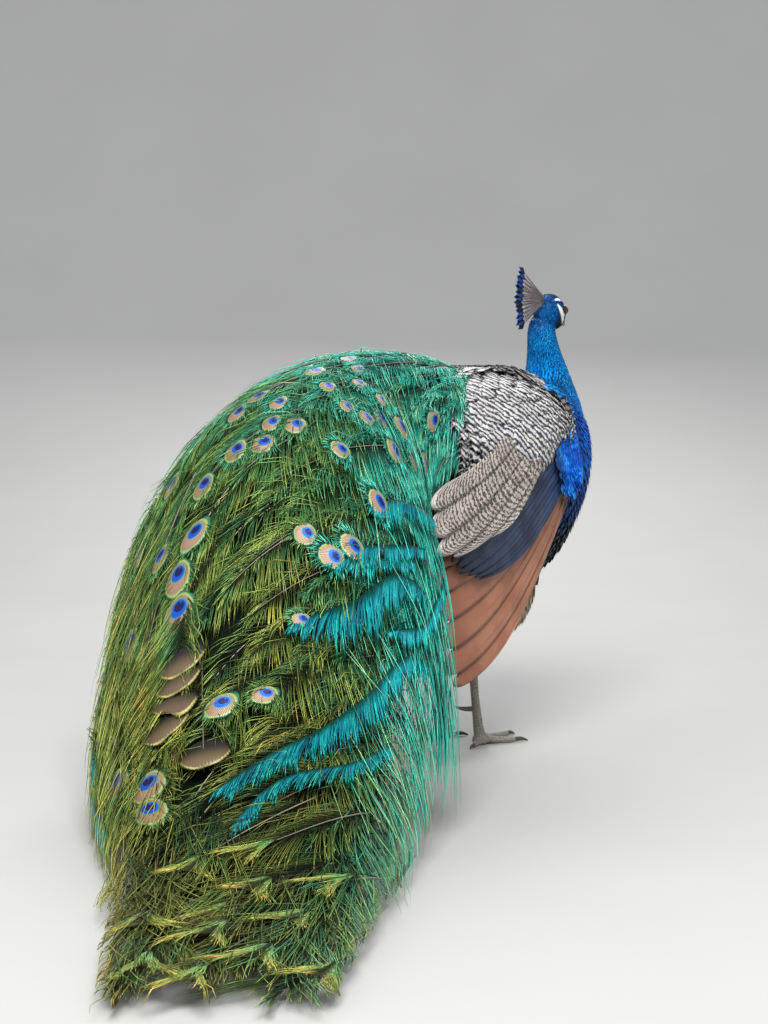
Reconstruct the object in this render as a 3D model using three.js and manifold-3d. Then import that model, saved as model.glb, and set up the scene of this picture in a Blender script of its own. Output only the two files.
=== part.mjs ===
// Still, life-size model of an Indian peafowl cock standing on level ground with its train trailing.
// Millimetres, +Z up. The bird faces +X, its left side is +Y, and the train bends to its right.
// The body is lofted from named stations, the wings and the train are shells laid over simple surfaces,
// and each part is trimmed by its neighbours with a small gap, so that the parts meet without overlap.
import * as THREE from "three";
import { mergeVertices } from "three/addons/utils/BufferGeometryUtils.js";
import Module from "manifold-3d";

const wasm = await Module();
wasm.setup();

// ---------------------------------------------------------------- driving dimensions
const gap = 0.35; // clearance between neighbouring parts
const groundZ = 0;

// Trunk with its body feathers: [x, centre z, half height, half width], breast first.
const trunkStations = [
  [274, 362, 14, 12],
  [267, 360, 40, 38],
  [246, 352, 78, 66],
  [212, 338, 108, 84],
  [165, 325, 136, 94],
  [95, 318, 148, 97],
  [25, 320, 147, 95],
  [-40, 334, 136, 88],
  [-100, 356, 115, 75],
  [-150, 379, 87, 58],
  [-192, 396, 52, 38],
  [-214, 402, 16, 13],
];

// Neck: [x, y, z, radius], from inside the breast up to inside the head.
const neckStations = [
  [188, 0, 350, 64],
  [214, 0, 383, 62],
  [229, 0, 404, 54],
  [235, 0, 426, 43],
  [236, 0, 448, 32.5],
  [230, -1, 466, 26.5],
  [223, -2, 484, 22.5],
  [219, -2, 503, 20],
  [222, -2, 520, 17],
];

const head = {
  centre: new THREE.Vector3(241, -2, 529),
  turn: THREE.MathUtils.degToRad(12), // to the bird's left
  nod: THREE.MathUtils.degToRad(5), // bill down
};
// Head in its own frame: [forward, centre height, half height, half width], back of the head first.
const headStations = [
  [-29, -4, 5, 4],
  [-26, -3, 13, 11],
  [-18, -1, 21, 17.5],
  [-6, 0, 24.5, 20.5],
  [8, -1, 22.5, 19.5],
  [19, -3, 17.5, 15.5],
  [27, -5, 12, 11],
  [31, -6, 8.5, 8],
];
const eye = { forward: 10, side: 15.4, up: 3.5, radius: 6.2 };

// Bill halves: [forward, centre height, half height, half width].
const upperBill = [
  [28, -1.5, 5.6, 6.6],
  [38, -2.2, 5.2, 5.6],
  [48, -3.8, 4.2, 4.2],
  [57, -6.6, 3.0, 2.6],
  [64, -10.5, 1.3, 1.1],
];
const lowerBill = [
  [28, -10.6, 3.1, 5.8],
  [38, -10.9, 2.7, 4.9],
  [48, -11.6, 2.1, 3.6],
  [58, -12.8, 1.1, 1.9],
];

const crest = {
  root: [-22, 0, 13], // in the head's frame
  feathers: 11,
  length: 68,
  lean: THREE.MathUtils.degToRad(181), // centre of the fan, from straight ahead over the crown
  spread: THREE.MathUtils.degToRad(84),
  turn: THREE.MathUtils.degToRad(-17), // the fan's plane against the head's
  shaft: 0.9,
  tipLength: 19,
  tipWidth: 9.5,
  tipThickness: 2.4,
};

// Legs, right one; the left one is mirrored and set at its own place.
const foot = { right: [6, -40], left: [-5, 36] };
const leg = {
  hip: [52, 12, 250], // from the foot: forward, outwards, and its height
  knee: [30, 16, 176],
  heel: [-28, 3, 134],
  ankle: [0, 0, 15],
  spurUp: 46,
};
const toes = [
  // name, angle from straight ahead (outwards is positive), length, radius
  { name: "middle", angle: 2, length: 66, radius: 5.2 },
  { name: "inner", angle: -34, length: 48, radius: 4.8 },
  { name: "outer", angle: 36, length: 51, radius: 4.7 },
  { name: "hind", angle: 168, length: 22, radius: 4.0 },
];
const claw = { length: 14, radius: 2.7, flat: 1.0 };

// Wing: how far the folded wing's face stands out from the middle plane.
const wing = {
  width: 104,
  crownStart: 330,
  crownFall: 60,
  crownReach: 140,
  frontStart: 150,
  frontFall: 26,
  frontReach: 90,
  flare: 10,
  flareReach: 220,
};

// Fans of wing feathers on one side: [x, z] of the roots and of the tips, lowest feather first;
// lift is how far out the fan lies, and bow how far its lowest and highest feathers sag.
const primaries = {
  roots: [[104, 300], [92, 312], [70, 326], [46, 338]],
  tips: [[-176, 101], [-202, 128], [-214, 178], [-208, 226], [-200, 252]],
  feathers: 7,
  lift: 0.5,
  thickness: 5,
  bow: [52, 4],
};
const secondaries = {
  roots: [[122, 352], [96, 366], [52, 378], [12, 388]],
  tips: [[-124, 223], [-160, 230], [-188, 248], [-204, 272]],
  feathers: 6,
  lift: 8.6,
  thickness: 5,
  bow: [36, 6],
};
const tertials = {
  roots: [[16, 346], [4, 376], [-18, 404]],
  tips: [[-120, 272], [-178, 256], [-228, 262], [-249, 300], [-230, 334]],
  feathers: 5,
  lift: 16.8,
  thickness: 5.5,
  bow: [12, 2],
};
const covert = {
  lowerEdge: [[189, 350], [134, 350], [74, 366], [44, 340], [-10, 320], [-60, 328], [-104, 350]],
  upperEdge: [[197, 388], [160, 424], [100, 448], [40, 464], [-10, 468], [-55, 462], [-104, 442]],
  swell: 32,
  inside: 30,
};

// Train, along its ridge: [x, y, z, half span, drop of its sides, turn to the right in degrees].
const trainStations = [
  [-12, 0, 467, 44, 20, 0],
  [-110, 8, 484, 102, 96, 0],
  [-215, 26, 476, 130, 150, 1],
  [-325, 10, 434, 194, 252, 6],
  [-428, -46, 340, 195, 275, 14],
  [-520, -104, 222, 172, 190, 21],
  [-610, -170, 120, 146, 96, 27],
  [-705, -238, 54, 122, 34, 31],
  [-800, -300, 28, 104, 14, 33],
  [-890, -354, 20, 92, 9, 34],
  [-975, -404, 13, 78, 6, 34],
];
const trainThickness = 13;
const tipRoom = 0.005; // past the tips of the tier above, as a share of the ridge
// Tiers of train feathers, shortest and outermost first: where each starts and ends along the ridge (0 to 1),
// its rows, how many feather tips show on each side of the ridge, and how far a tip reaches past the notch
// beside it. The upper tiers are split at the ridge. The last two are whole, a little narrower, and lie on
// the ground.
const trainTiers = [
  { start: 0.0, end: 0.2, rows: 3, tips: 3, reach: 0.018 },
  { start: 0.13, end: 0.38, rows: 5, tips: 4, reach: 0.022 },
  { start: 0.3, end: 0.56, rows: 5, tips: 4, reach: 0.024 },
  { start: 0.48, end: 0.74, rows: 4, tips: 4, reach: 0.026 },
  { start: 0.66, end: 0.88, rows: 3, tips: 4, reach: 0.026, lies: true, edge: 0.95 },
  { start: 0.8, end: 0.985, rows: 3, tips: 4, reach: 0.03, lies: true, edge: 0.92 },
];

const tail = { feathers: 9, thickness: 5, root: [-172, 372], tip: [-452, 158], rootHalf: 26, tipHalf: 104 };

// ---------------------------------------------------------------- helpers
const smooth = (t) => t * t * (3 - 2 * t);
const clamp01 = (t) => Math.min(1, Math.max(0, t));

// Uniform Catmull-Rom through rows of numbers, t from 0 to 1.
function spline(rows, t) {
  const at = clamp01(t) * (rows.length - 1);
  const i = Math.min(Math.floor(at), rows.length - 2);
  const f = at - i;
  const row = (k) => rows[Math.min(rows.length - 1, Math.max(0, k))];
  const [a, b, c, d] = [row(i - 1), row(i), row(i + 1), row(i + 2)];
  return b.map((_, k) => {
    const linear = c[k] - a[k];
    const square = 2 * a[k] - 5 * b[k] + 4 * c[k] - d[k];
    const cube = 3 * b[k] - a[k] - 3 * c[k] + d[k];
    return b[k] + 0.5 * f * (linear + f * (square + f * cube));
  });
}

// A closed three.js geometry with every vertex sent through place(x, y, z).
function warped(geometry, place) {
  geometry.deleteAttribute("normal");
  geometry.deleteAttribute("uv");
  const whole = mergeVertices(geometry, 1e-4);
  const at = whole.getAttribute("position");
  for (let i = 0; i < at.count; i++) {
    const p = place(at.getX(i), at.getY(i), at.getZ(i));
    at.setXYZ(i, p.x, p.y, p.z);
  }
  return whole;
}

// Turns every face round, as a mirrored shape needs.
function flipped(geometry) {
  const index = geometry.index.array;
  for (let i = 0; i < index.length; i += 3) [index[i + 1], index[i + 2]] = [index[i + 2], index[i + 1]];
  return geometry;
}

function solid(geometry) {
  const made = () =>
    new wasm.Manifold(
      new wasm.Mesh({
        numProp: 3,
        vertProperties: new Float32Array(geometry.getAttribute("position").array),
        triVerts: new Uint32Array(geometry.index.array),
      }),
    );
  const first = made();
  if (first.volume() > 0) return first;
  flipped(geometry);
  return made();
}

const union = (parts) => parts.reduce((whole, part) => whole.add(part));
const without = (part, ...others) => others.reduce((left, other) => left.subtract(other), part);
// The main body of a cut part, without the crumbs that the cut leaves.
const largest = (part) => part.decompose().sort((a, b) => b.volume() - a.volume())[0];

// Tube of rings; ring(t, angle, share) gives a point, t from 0 to 1 and share 0 on the axis.
function loft(steps, sides, ring) {
  const cylinder = new THREE.CylinderGeometry(1, 1, 1, sides, steps);
  return warped(cylinder, (x, y, z) => ring(y + 0.5, Math.atan2(z, x), Math.min(1, Math.hypot(x, z))));
}

// Slab over a surface; face(u, v, outer) gives its points, u and v from 0 to 1.
function slab(along, across, face) {
  const box = new THREE.BoxGeometry(1, 1, 1, along, across, 1);
  return warped(box, (x, y, z) => face(x + 0.5, y + 0.5, z > 0));
}

// Round rod through points, each [x, y, z, radius].
function rod(points, sides, steps, grow = 0) {
  return loft(steps, sides, (t, angle, share) => {
    const here = spline(points, t);
    const ahead = spline(points, t + 0.01);
    const behind = spline(points, t - 0.01);
    const way = new THREE.Vector3(...ahead).sub(new THREE.Vector3(...behind)).normalize();
    const level = Math.abs(way.y) < 0.9 ? new THREE.Vector3(0, 1, 0) : new THREE.Vector3(1, 0, 0);
    const across = new THREE.Vector3().crossVectors(way, level).normalize();
    const other = new THREE.Vector3().crossVectors(way, across);
    const r = (here[3] + grow) * share;
    return new THREE.Vector3(here[0], here[1], here[2])
      .addScaledVector(across, r * Math.cos(angle))
      .addScaledVector(other, r * Math.sin(angle));
  });
}

// Rounded ball with half sizes and a middle.
function ball([rx, ry, rz], [x, y, z], around, down) {
  const sphere = new THREE.SphereGeometry(1, around, down);
  return warped(sphere, (a, b, c) => new THREE.Vector3(x + a * rx, y + b * ry, z + c * rz));
}

// ---------------------------------------------------------------- trunk, neck and head
// Level tube along X through [x, centre z, half height, half width].
function levelLoft(stations, steps, sides, grow = 0, fullness = 2.1) {
  const way = Math.sign(stations[0][0] - stations[stations.length - 1][0]);
  return loft(steps, sides, (t, angle, share) => {
    const [x, z, halfHeight, halfWidth] = spline(stations, t);
    const c = Math.cos(angle);
    const s = Math.sin(angle);
    const round = Math.pow(Math.abs(c) ** fullness + Math.abs(s) ** fullness, -1 / fullness);
    const end = t === 0 ? way * grow : t === 1 ? -way * grow : 0;
    const y = (halfWidth + grow) * share * round * c;
    return new THREE.Vector3(x + end, y, z + (halfHeight + grow) * share * round * s);
  });
}

const headPlace = new THREE.Matrix4()
  .makeRotationZ(head.turn)
  .multiply(new THREE.Matrix4().makeRotationY(head.nod))
  .setPosition(head.centre);
const onHead = (geometry) => solid(geometry.applyMatrix4(headPlace));

const trunkOf = (grow = 0) => solid(levelLoft(trunkStations, 13, 16, grow));
const skullOf = (grow = 0) => onHead(levelLoft(headStations, 8, 12, grow));
const upperBillOf = (grow = 0) => onHead(levelLoft(upperBill, 5, 8, grow));
const lowerBillOf = (grow = 0) => onHead(levelLoft(lowerBill, 4, 8, grow));
const eyeOf = (side, grow = 0) => {
  const r = eye.radius + grow;
  return onHead(ball([r, r, r], [eye.forward, side * eye.side, eye.up], 8, 6));
};

// The neck's rings lean with its curve, so that the throat and the nape keep their thickness.
function neckOf() {
  return solid(
    loft(8, 12, (t, angle, share) => {
      const [x, y, z, radius] = spline(neckStations, t);
      const [ax, , az] = spline(neckStations, t + 0.02);
      const [bx, , bz] = spline(neckStations, t - 0.02);
      const tilt = Math.atan2(ax - bx, az - bz) * 0.6;
      const out = radius * share * Math.cos(angle);
      const side = radius * share * Math.sin(angle);
      return new THREE.Vector3(x + out * Math.cos(tilt), y + side, z - out * Math.sin(tilt));
    }),
  );
}

// Crest: a fan of thin shafts, each with a flat paddle at its end, held by a small root on the crown.
function crestFan() {
  const place = new THREE.Matrix4().makeRotationZ(crest.turn).setPosition(...crest.root);
  const onCrown = (geometry) => onHead(geometry.applyMatrix4(place));
  const parts = [onCrown(ball([6.5, 4.2, 4.2], [0, 0, 0], 6, 4))];
  for (let i = 0; i < crest.feathers; i++) {
    const share = i / (crest.feathers - 1) - 0.5;
    const angle = crest.lean + share * crest.spread;
    const length = crest.length * (1 - 0.22 * Math.abs(share));
    const [cx, cz] = [Math.cos(angle), Math.sin(angle)];
    const side = i % 2 ? 0.9 : -0.9;
    const shaftEnd = length - crest.tipLength * 0.7;
    const at = (s, r) => [cx * s, s > 0 ? side : 0, cz * s, r];
    parts.push(onCrown(rod([at(0, crest.shaft), at(shaftEnd, crest.shaft * 0.8)], 3, 1)));
    const paddle = warped(new THREE.SphereGeometry(1, 6, 3), (x, y, z) => {
      const out = length + ((z - 1) * crest.tipLength) / 2;
      const across = (x * crest.tipWidth * (0.75 + 0.25 * z)) / 2;
      const flat = side + (y * crest.tipThickness) / 2;
      return new THREE.Vector3(cx * out - cz * across, flat, cz * out + cx * across);
    });
    parts.push(onCrown(paddle));
  }
  return largest(without(union(parts), skullOf(gap)));
}

// ---------------------------------------------------------------- right leg
// A point from [forward, outwards, height]; outwards is -Y on the right.
const legPoint = ([forward, out, up], radius) => [foot.right[0] + forward, foot.right[1] - out, up, radius];

const thighRows = [
  legPoint(leg.hip, 44),
  legPoint(leg.knee, 37),
  legPoint([-14, 8, 146], 20),
  legPoint(leg.heel, 10),
];
const shankRows = [
  legPoint([-31, 4, 141], 5),
  legPoint(leg.heel, 7.6),
  legPoint([-22, 3, 112], 5.8),
  legPoint([-12, 1, 62], 5.4),
  legPoint([-3, 0, 26], 6.4),
  legPoint(leg.ankle, 7.2),
  legPoint([4, 0, 7], 6.5),
];
const thighOf = (grow = 0) => solid(rod(thighRows, 10, 5, grow));
const shankOf = (grow = 0) => solid(rod(shankRows, 7, 6, grow));

function toeWay(toe) {
  const angle = THREE.MathUtils.degToRad(toe.angle);
  return [Math.cos(angle), Math.sin(angle)];
}

function toeOf(toe, grow = 0) {
  const [fx, fy] = toeWay(toe).map((value) => value * toe.length);
  const r = toe.radius;
  const rows = [
    legPoint([0, 0, toe.name === "hind" ? 14 : 11], r * 1.15),
    legPoint([fx * 0.3, fy * 0.3, r * 1.15], r),
    legPoint([fx * 0.62, fy * 0.62, r * 0.8], r * 0.95),
    legPoint([fx * 0.9, fy * 0.9, r * 0.72], r * 0.8),
    legPoint([fx, fy, r * 0.7], r * 0.45),
  ];
  return solid(rod(rows, 5, 3, grow));
}

function clawOf(toe) {
  const [wx, wy] = toeWay(toe);
  const size = toe.name === "hind" ? 0.8 : 1;
  const at = (s, up, r) => legPoint([wx * (toe.length + s), wy * (toe.length + s), up], r * size);
  const rows = [
    at(-5, toe.radius * 0.75, claw.radius),
    at(2, toe.radius * 0.85, claw.radius),
    at(claw.length * 0.55 * size, 3.4, claw.radius * 0.72),
    at(claw.length * size, claw.flat, claw.radius * 0.3),
  ];
  return solid(rod(rows, 5, 2));
}

// What is under the ground is cut off, so that all that stands on it has flats at one level.
const underBox = new THREE.BoxGeometry(4000, 4000, 400).translate(0, 0, groundZ - 200);
const underground = solid(warped(underBox, (x, y, z) => new THREE.Vector3(x, y, z)));
const shank = largest(without(shankOf(), thighOf(gap)));
const sole = solid(ball([10.5, 10.5, 7.5], [...legPoint([2, 0, 6], 0)], 7, 4));
const footPart = largest(without(union([sole, ...toes.map((toe) => toeOf(toe))]), shankOf(gap), underground));
const claws = toes.map((toe) => largest(without(clawOf(toe), toeOf(toe, gap), underground)));
const spur = (() => {
  const [x, y, z] = legPoint([-12, -4, leg.spurUp], 0);
  const rows = [
    [x, y, z, 3.2],
    [x - 7, y + 5, z + 0.5, 2.8],
    [x - 15, y + 9, z + 2.5, 1.7],
    [x - 21, y + 11, z + 5.5, 0.6],
  ];
  return largest(without(solid(rod(rows, 5, 3)), shankOf(gap)));
})();
// The left leg is the right one mirrored, moved to its own foot.
const leftLegMove = [foot.left[0] - foot.right[0], foot.left[1] + foot.right[1], 0];

// ---------------------------------------------------------------- wings
// Distance of the folded wing's face from the middle plane at x, z.
function wingFace(x, z) {
  const crown = Math.max(0, (z - wing.crownStart) / wing.crownReach);
  const front = Math.max(0, (x - wing.frontStart) / wing.frontReach);
  const low = Math.max(0, (wing.crownStart - z) / wing.flareReach);
  return wing.width - wing.crownFall * crown * crown - wing.frontFall * front * front + wing.flare * low;
}

// A fan of wing feathers side by side, each from the root line to the tip line.
// The tips are rounded and the face steps from one feather to the next, as overlapping vanes do.
function wingFan(fan, side, grow = 0) {
  const { roots, tips, feathers, lift, thickness, bow } = fan;
  return solid(
    slab(3, feathers * 2, (u, v, outer) => {
      const [rx, rz] = spline(roots, v);
      const [tx, tz] = spline(tips, v);
      const inFeather = (v * feathers) % 1;
      const s = u * (1 - 0.08 * (2 * inFeather - 1) ** 2 * u);
      const sag = Math.sin(s * Math.PI) * (bow[0] + (bow[1] - bow[0]) * v);
      const x = rx + (tx - rx) * s - sag * 0.25;
      const z = rz + (tz - rz) * s - sag;
      const face = thickness * (1 - 0.45 * u) + 1.6 * inFeather * Math.min(1, u * 3);
      const y = wingFace(x, z) + lift + (outer ? face + grow : -grow);
      return new THREE.Vector3(x, side * y, z);
    }),
  );
}

// Shoulder, scapulars and coverts: a thick pad over the side of the back, with a lobed lower edge.
function covertPad(side, grow = 0) {
  return solid(
    slab(5, 11, (u, v, outer) => {
      const [lx, lz] = spline(covert.lowerEdge, v);
      const [ux, uz] = spline(covert.upperEdge, v);
      const x = ux + (lx - ux) * u + 2 * grow * (1 - 2 * v);
      const z = uz + (lz - uz) * u + 2 * grow * (1 - 2 * u);
      const swell = Math.sin(Math.PI * (u * 0.85 + 0.1)) * Math.sin(Math.PI * (0.08 + v * 0.84));
      const y = wingFace(x, z) - 6 + covert.swell * Math.sqrt(Math.max(0, swell)) + grow;
      return new THREE.Vector3(x, side * (outer ? y : covert.inside - grow), z);
    }),
  );
}

const wingFans = { primaries, secondaries, tertials };
const wingParts = Object.entries(wingFans).map(([name, fan]) => {
  return [name, largest(without(wingFan(fan, -1), trunkOf(gap), thighOf(gap), covertPad(-1, gap)))];
});
wingParts.push(["coverts", largest(without(covertPad(-1), trunkOf(gap)))]);
const grownFans = (side) => Object.values(wingFans).map((fan) => wingFan(fan, side, gap));
const grownWing = (side) => [covertPad(side, gap), ...grownFans(side)];

// ---------------------------------------------------------------- train and tail
// A point of the train's surface: t along the ridge, v from -1 (right edge) over the ridge to 1 (left edge).
function trainPoint(t, v) {
  const [x, y, z, half, drop, turn] = spline(trainStations, t);
  const angle = (v * Math.PI) / 2;
  const out = half * Math.sin(angle);
  const bend = THREE.MathUtils.degToRad(turn);
  const fall = drop * (1 - Math.cos(angle));
  return new THREE.Vector3(x - out * Math.sin(bend), y + out * Math.cos(bend), z - fall);
}

function trainNormal(t, v) {
  const e = 0.01;
  const near = Math.min(1 - e, Math.max(e, t));
  const along = trainPoint(near + e, v).sub(trainPoint(near - e, v));
  const across = trainPoint(near, v + e).sub(trainPoint(near, v - e));
  return new THREE.Vector3().crossVectors(across, along).normalize();
}

// One tier of the train. As a cutter it is wider than itself, with a gap under it and past its tips.
function trainTier(tier, from, to, cutter = false) {
  const columns = Math.round(tier.tips * Math.abs(to - from)) * 2;
  const extra = cutter ? 1 : 0;
  return slab(tier.rows, columns + 2 * extra, (u, w, outer) => {
    const column = w * (columns + 2 * extra) - extra;
    const v = from + ((to - from) * column) / columns;
    const inTip = (((column / 2) % 1) + 1) % 1;
    const lobe = tier.reach * (1 - (2 * inTip - 1) ** 2);
    const last = tier.end - 0.05 * (tier.lies ? v * v : Math.abs(v)) + lobe;
    const t = tier.start + (last - tier.start) * u + (cutter && u === 1 ? tipRoom : 0);
    const normal = trainNormal(t, v);
    const p = trainPoint(t, v).addScaledVector(normal, -3 * (1 - u) ** 2);
    p.z = Math.max(p.z, groundZ + 4);
    if (outer) return p.addScaledVector(normal, cutter ? 5 : 0);
    // the part that lies on the ground is filled down to it
    const landed = tier.lies ? smooth(clamp01((60 - p.z) / 25)) : 0;
    p.addScaledVector(normal, -trainThickness * (1 - 0.55 * u));
    p.z = Math.max(groundZ, p.z + (groundZ - p.z) * landed);
    if (cutter) p.addScaledVector(normal, -2 * gap).z -= 4 * gap;
    return p;
  });
}

function tailFan(grow = 0) {
  return solid(
    slab(2, tail.feathers * 2, (u, v, outer) => {
      const w = 2 * v - 1;
      const half = tail.rootHalf + (tail.tipHalf - tail.rootHalf) * u;
      const inFeather = (v * tail.feathers) % 1;
      const s = u * (1 - 0.05 * (2 * inFeather - 1) ** 2 * u - 0.1 * w * w * u);
      const x = tail.root[0] + (tail.tip[0] - tail.root[0]) * s;
      const z = tail.root[1] + (tail.tip[1] - tail.root[1]) * s - 26 * w * w * s + 14 * Math.sin(Math.PI * s);
      return new THREE.Vector3(x, -20 * s * s + w * half, z + (outer ? tail.thickness + grow : -grow));
    }),
  );
}

const halves = [[-1, -0.0018], [0.0018, 1]];
const spansOf = (tier) => (tier.lies ? [[-tier.edge, tier.edge]] : halves);

function trainPart(index, from, to) {
  const tier = trainTiers[index];
  const cuts = [trunkOf(gap)];
  if (index > 0) {
    const above = trainTiers[index - 1];
    const spans = tier.lies ? spansOf(above) : [[from, to]];
    cuts.push(...spans.map(([a, b]) => solid(trainTier(above, a, b, true))));
  }
  if (tier.start < 0.4) cuts.push(...grownWing(Math.sign(from + to)));
  if (tier.start < 0.5) cuts.push(tailFan(gap));
  return largest(without(solid(trainTier(tier, from, to)), ...cuts));
}

// ---------------------------------------------------------------- the bird
const colours = {
  skin: ["#0b4fa0", 0.45, 0.25],
  horn: ["#6e6558", 0.5, 0],
  eye: ["#1a100a", 0.15, 0],
  crest: ["#0c5a8c", 0.45, 0.25],
  breast: ["#10325e", 0.5, 0.25],
  thigh: ["#a89878", 0.8, 0],
  leg: ["#7d746a", 0.65, 0],
  coverts: ["#b3a795", 0.8, 0],
  tertials: ["#b3a795", 0.8, 0],
  secondaries: ["#2a3240", 0.55, 0.1],
  primaries: ["#b4714d", 0.7, 0],
  train: ["#3f7a45", 0.5, 0.3],
  tail: ["#4a3c30", 0.8, 0],
};

const bird = new THREE.Group();

function addPart(name, part, finish, mirror = false, move = [0, 0, 0]) {
  const [color, roughness, metalness] = colours[finish];
  const { vertProperties, triVerts, numVert, numProp } = part.getMesh();
  const at = new Float32Array(numVert * 3);
  for (let i = 0; i < numVert; i++) {
    const [x, y, z] = vertProperties.subarray(i * numProp, i * numProp + 3);
    at.set([x, mirror ? -y : y, z], i * 3);
  }
  const geometry = new THREE.BufferGeometry();
  geometry.setAttribute("position", new THREE.BufferAttribute(at, 3));
  geometry.setIndex(new THREE.BufferAttribute(triVerts, 1));
  if (mirror) flipped(geometry);
  geometry.computeVertexNormals();
  const made = new THREE.Mesh(geometry, new THREE.MeshStandardMaterial({ color, roughness, metalness }));
  made.name = name;
  made.position.set(...move);
  bird.add(made);
}

addPart("trunk", trunkOf(), "breast");
addPart("neck", largest(without(neckOf(), trunkOf(gap), skullOf(gap))), "skin");
const headCuts = [eyeOf(1, gap), eyeOf(-1, gap), upperBillOf(gap), lowerBillOf(gap)];
addPart("head", without(skullOf(), ...headCuts), "skin");
addPart("bill_upper", upperBillOf(), "horn");
addPart("bill_lower", lowerBillOf(), "horn");
addPart("crest", crestFan(), "crest");
addPart("tail", largest(without(tailFan(), trunkOf(gap))), "tail");
for (const [side, left] of [["right", false], ["left", true]]) {
  const own = left ? leftLegMove : [0, 0, 0];
  addPart(`eye_${side}`, eyeOf(left ? 1 : -1), "eye");
  addPart(`shank_${side}`, shank, "leg", left, own);
  addPart(`foot_${side}`, footPart, "leg", left, own);
  addPart(`spur_${side}`, spur, "horn", left, own);
  toes.forEach((toe, i) => addPart(`claw_${toe.name}_${side}`, claws[i], "horn", left, own));
  wingParts.forEach(([name, part]) => addPart(`${name}_${side}`, part, name, left));
}
// The left thigh meets the trunk at its own place: the trunk is mirrored onto the right leg for the cut.
const trunkOnLeft = levelLoft(trunkStations, 13, 16, gap).translate(-leftLegMove[0], leftLegMove[1], 0);
addPart("thigh_right", largest(without(thighOf(), trunkOf(gap))), "thigh");
addPart("thigh_left", largest(without(thighOf(), solid(trunkOnLeft))), "thigh", true, leftLegMove);
trainTiers.forEach((tier, i) => {
  spansOf(tier).forEach(([from, to], half) => {
    const side = tier.lies ? "" : ["_right", "_left"][half];
    addPart(`train_tier${i + 1}${side}`, trainPart(i, from, to), "train");
  });
});

// The part's origin is the middle of its footprint, on the ground.
const reach = new THREE.Box3().setFromObject(bird);
const middle = reach.getCenter(new THREE.Vector3());
bird.position.set(-middle.x, -middle.y, -reach.min.z);

export default bird;
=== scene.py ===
import math

import bmesh
import bpy
import numpy as np
from mathutils import Matrix, Vector
from mathutils.kdtree import KDTree


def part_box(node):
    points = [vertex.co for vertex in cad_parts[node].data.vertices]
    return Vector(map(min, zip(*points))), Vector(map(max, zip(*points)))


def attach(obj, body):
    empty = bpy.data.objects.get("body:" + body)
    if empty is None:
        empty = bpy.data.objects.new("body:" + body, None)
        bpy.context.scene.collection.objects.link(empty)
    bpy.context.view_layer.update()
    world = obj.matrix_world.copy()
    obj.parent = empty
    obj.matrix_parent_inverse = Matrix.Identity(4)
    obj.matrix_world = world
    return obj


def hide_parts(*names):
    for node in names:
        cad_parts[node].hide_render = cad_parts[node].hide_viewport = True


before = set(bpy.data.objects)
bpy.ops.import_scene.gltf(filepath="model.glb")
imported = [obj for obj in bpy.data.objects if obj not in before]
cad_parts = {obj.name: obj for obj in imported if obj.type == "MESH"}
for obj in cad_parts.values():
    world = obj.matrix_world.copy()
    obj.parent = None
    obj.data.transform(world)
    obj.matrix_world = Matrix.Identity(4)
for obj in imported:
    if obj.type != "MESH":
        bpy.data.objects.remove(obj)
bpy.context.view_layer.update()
print("frame loaded:", len(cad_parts), "nodes")

# Everything is laid out in millimetres in the bird's own frame: x ahead, y to its left, z up.
# The trunk's box says where that frame sits in the model.
trunkLow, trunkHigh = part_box("trunk")
birdShift = np.array([trunkHigh.x * 1000 - 274, (trunkLow.y + trunkHigh.y) * 500, 0.0])
toMetres = Matrix.Scale(0.001, 4) @ Matrix.Translation(Vector(birdShift))


def toFrame(points):
    return (np.asarray(points, float) + birdShift) * 0.001


# ---- curves, frames and other sums on arrays
def spline(rows, t):
    rows = np.asarray(rows, float)
    at = np.clip(np.asarray(t, float), 0, 1) * (len(rows) - 1)
    i = np.minimum(at.astype(int), len(rows) - 2)
    f = (at - i)[..., None]
    a, b, c, d = (rows[np.clip(i + k, 0, len(rows) - 1)] for k in (-1, 0, 1, 2))
    return b + 0.5 * f * (c - a + f * (2 * a - 5 * b + 4 * c - d + f * (3 * b - a - 3 * c + d)))


def norm(vectors):
    return np.linalg.norm(vectors, axis=-1)


def unit(vectors):
    return vectors / np.maximum(norm(vectors)[..., None], 1e-9)


def ease(t):
    t = np.clip(t, 0, 1)
    return t * t * (3 - 2 * t)


def blend(low, high, t):
    return low + (high - low) * t


def stacked(*parts):
    return np.stack(np.broadcast_arrays(*parts), -1)


def flatTo(vectors, normals):
    return unit(vectors - normals * (vectors * normals).sum(-1, keepdims=True))


# ---- materials: sums on sockets, a method for each other kind of node, and colours as plain text
class Wire:
    def __init__(self, paint, socket):
        self.paint, self.socket = paint, socket


for sign, operation in (("add", "ADD"), ("sub", "SUBTRACT"), ("mul", "MULTIPLY"), ("truediv", "DIVIDE")):
    setattr(Wire, f"__{sign}__", lambda self, other, do=operation: self.paint.sum(do, self, other))
    setattr(Wire, f"__r{sign}__", lambda self, other, do=operation: self.paint.sum(do, other, self))


def shade(text):
    parts = [int(text[i:i + 2], 16) / 255 for i in (0, 2, 4)]
    return tuple(c / 12.92 if c < 0.04045 else ((c + 0.055) / 1.055) ** 2.4 for c in parts) + (1.0,)


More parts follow.
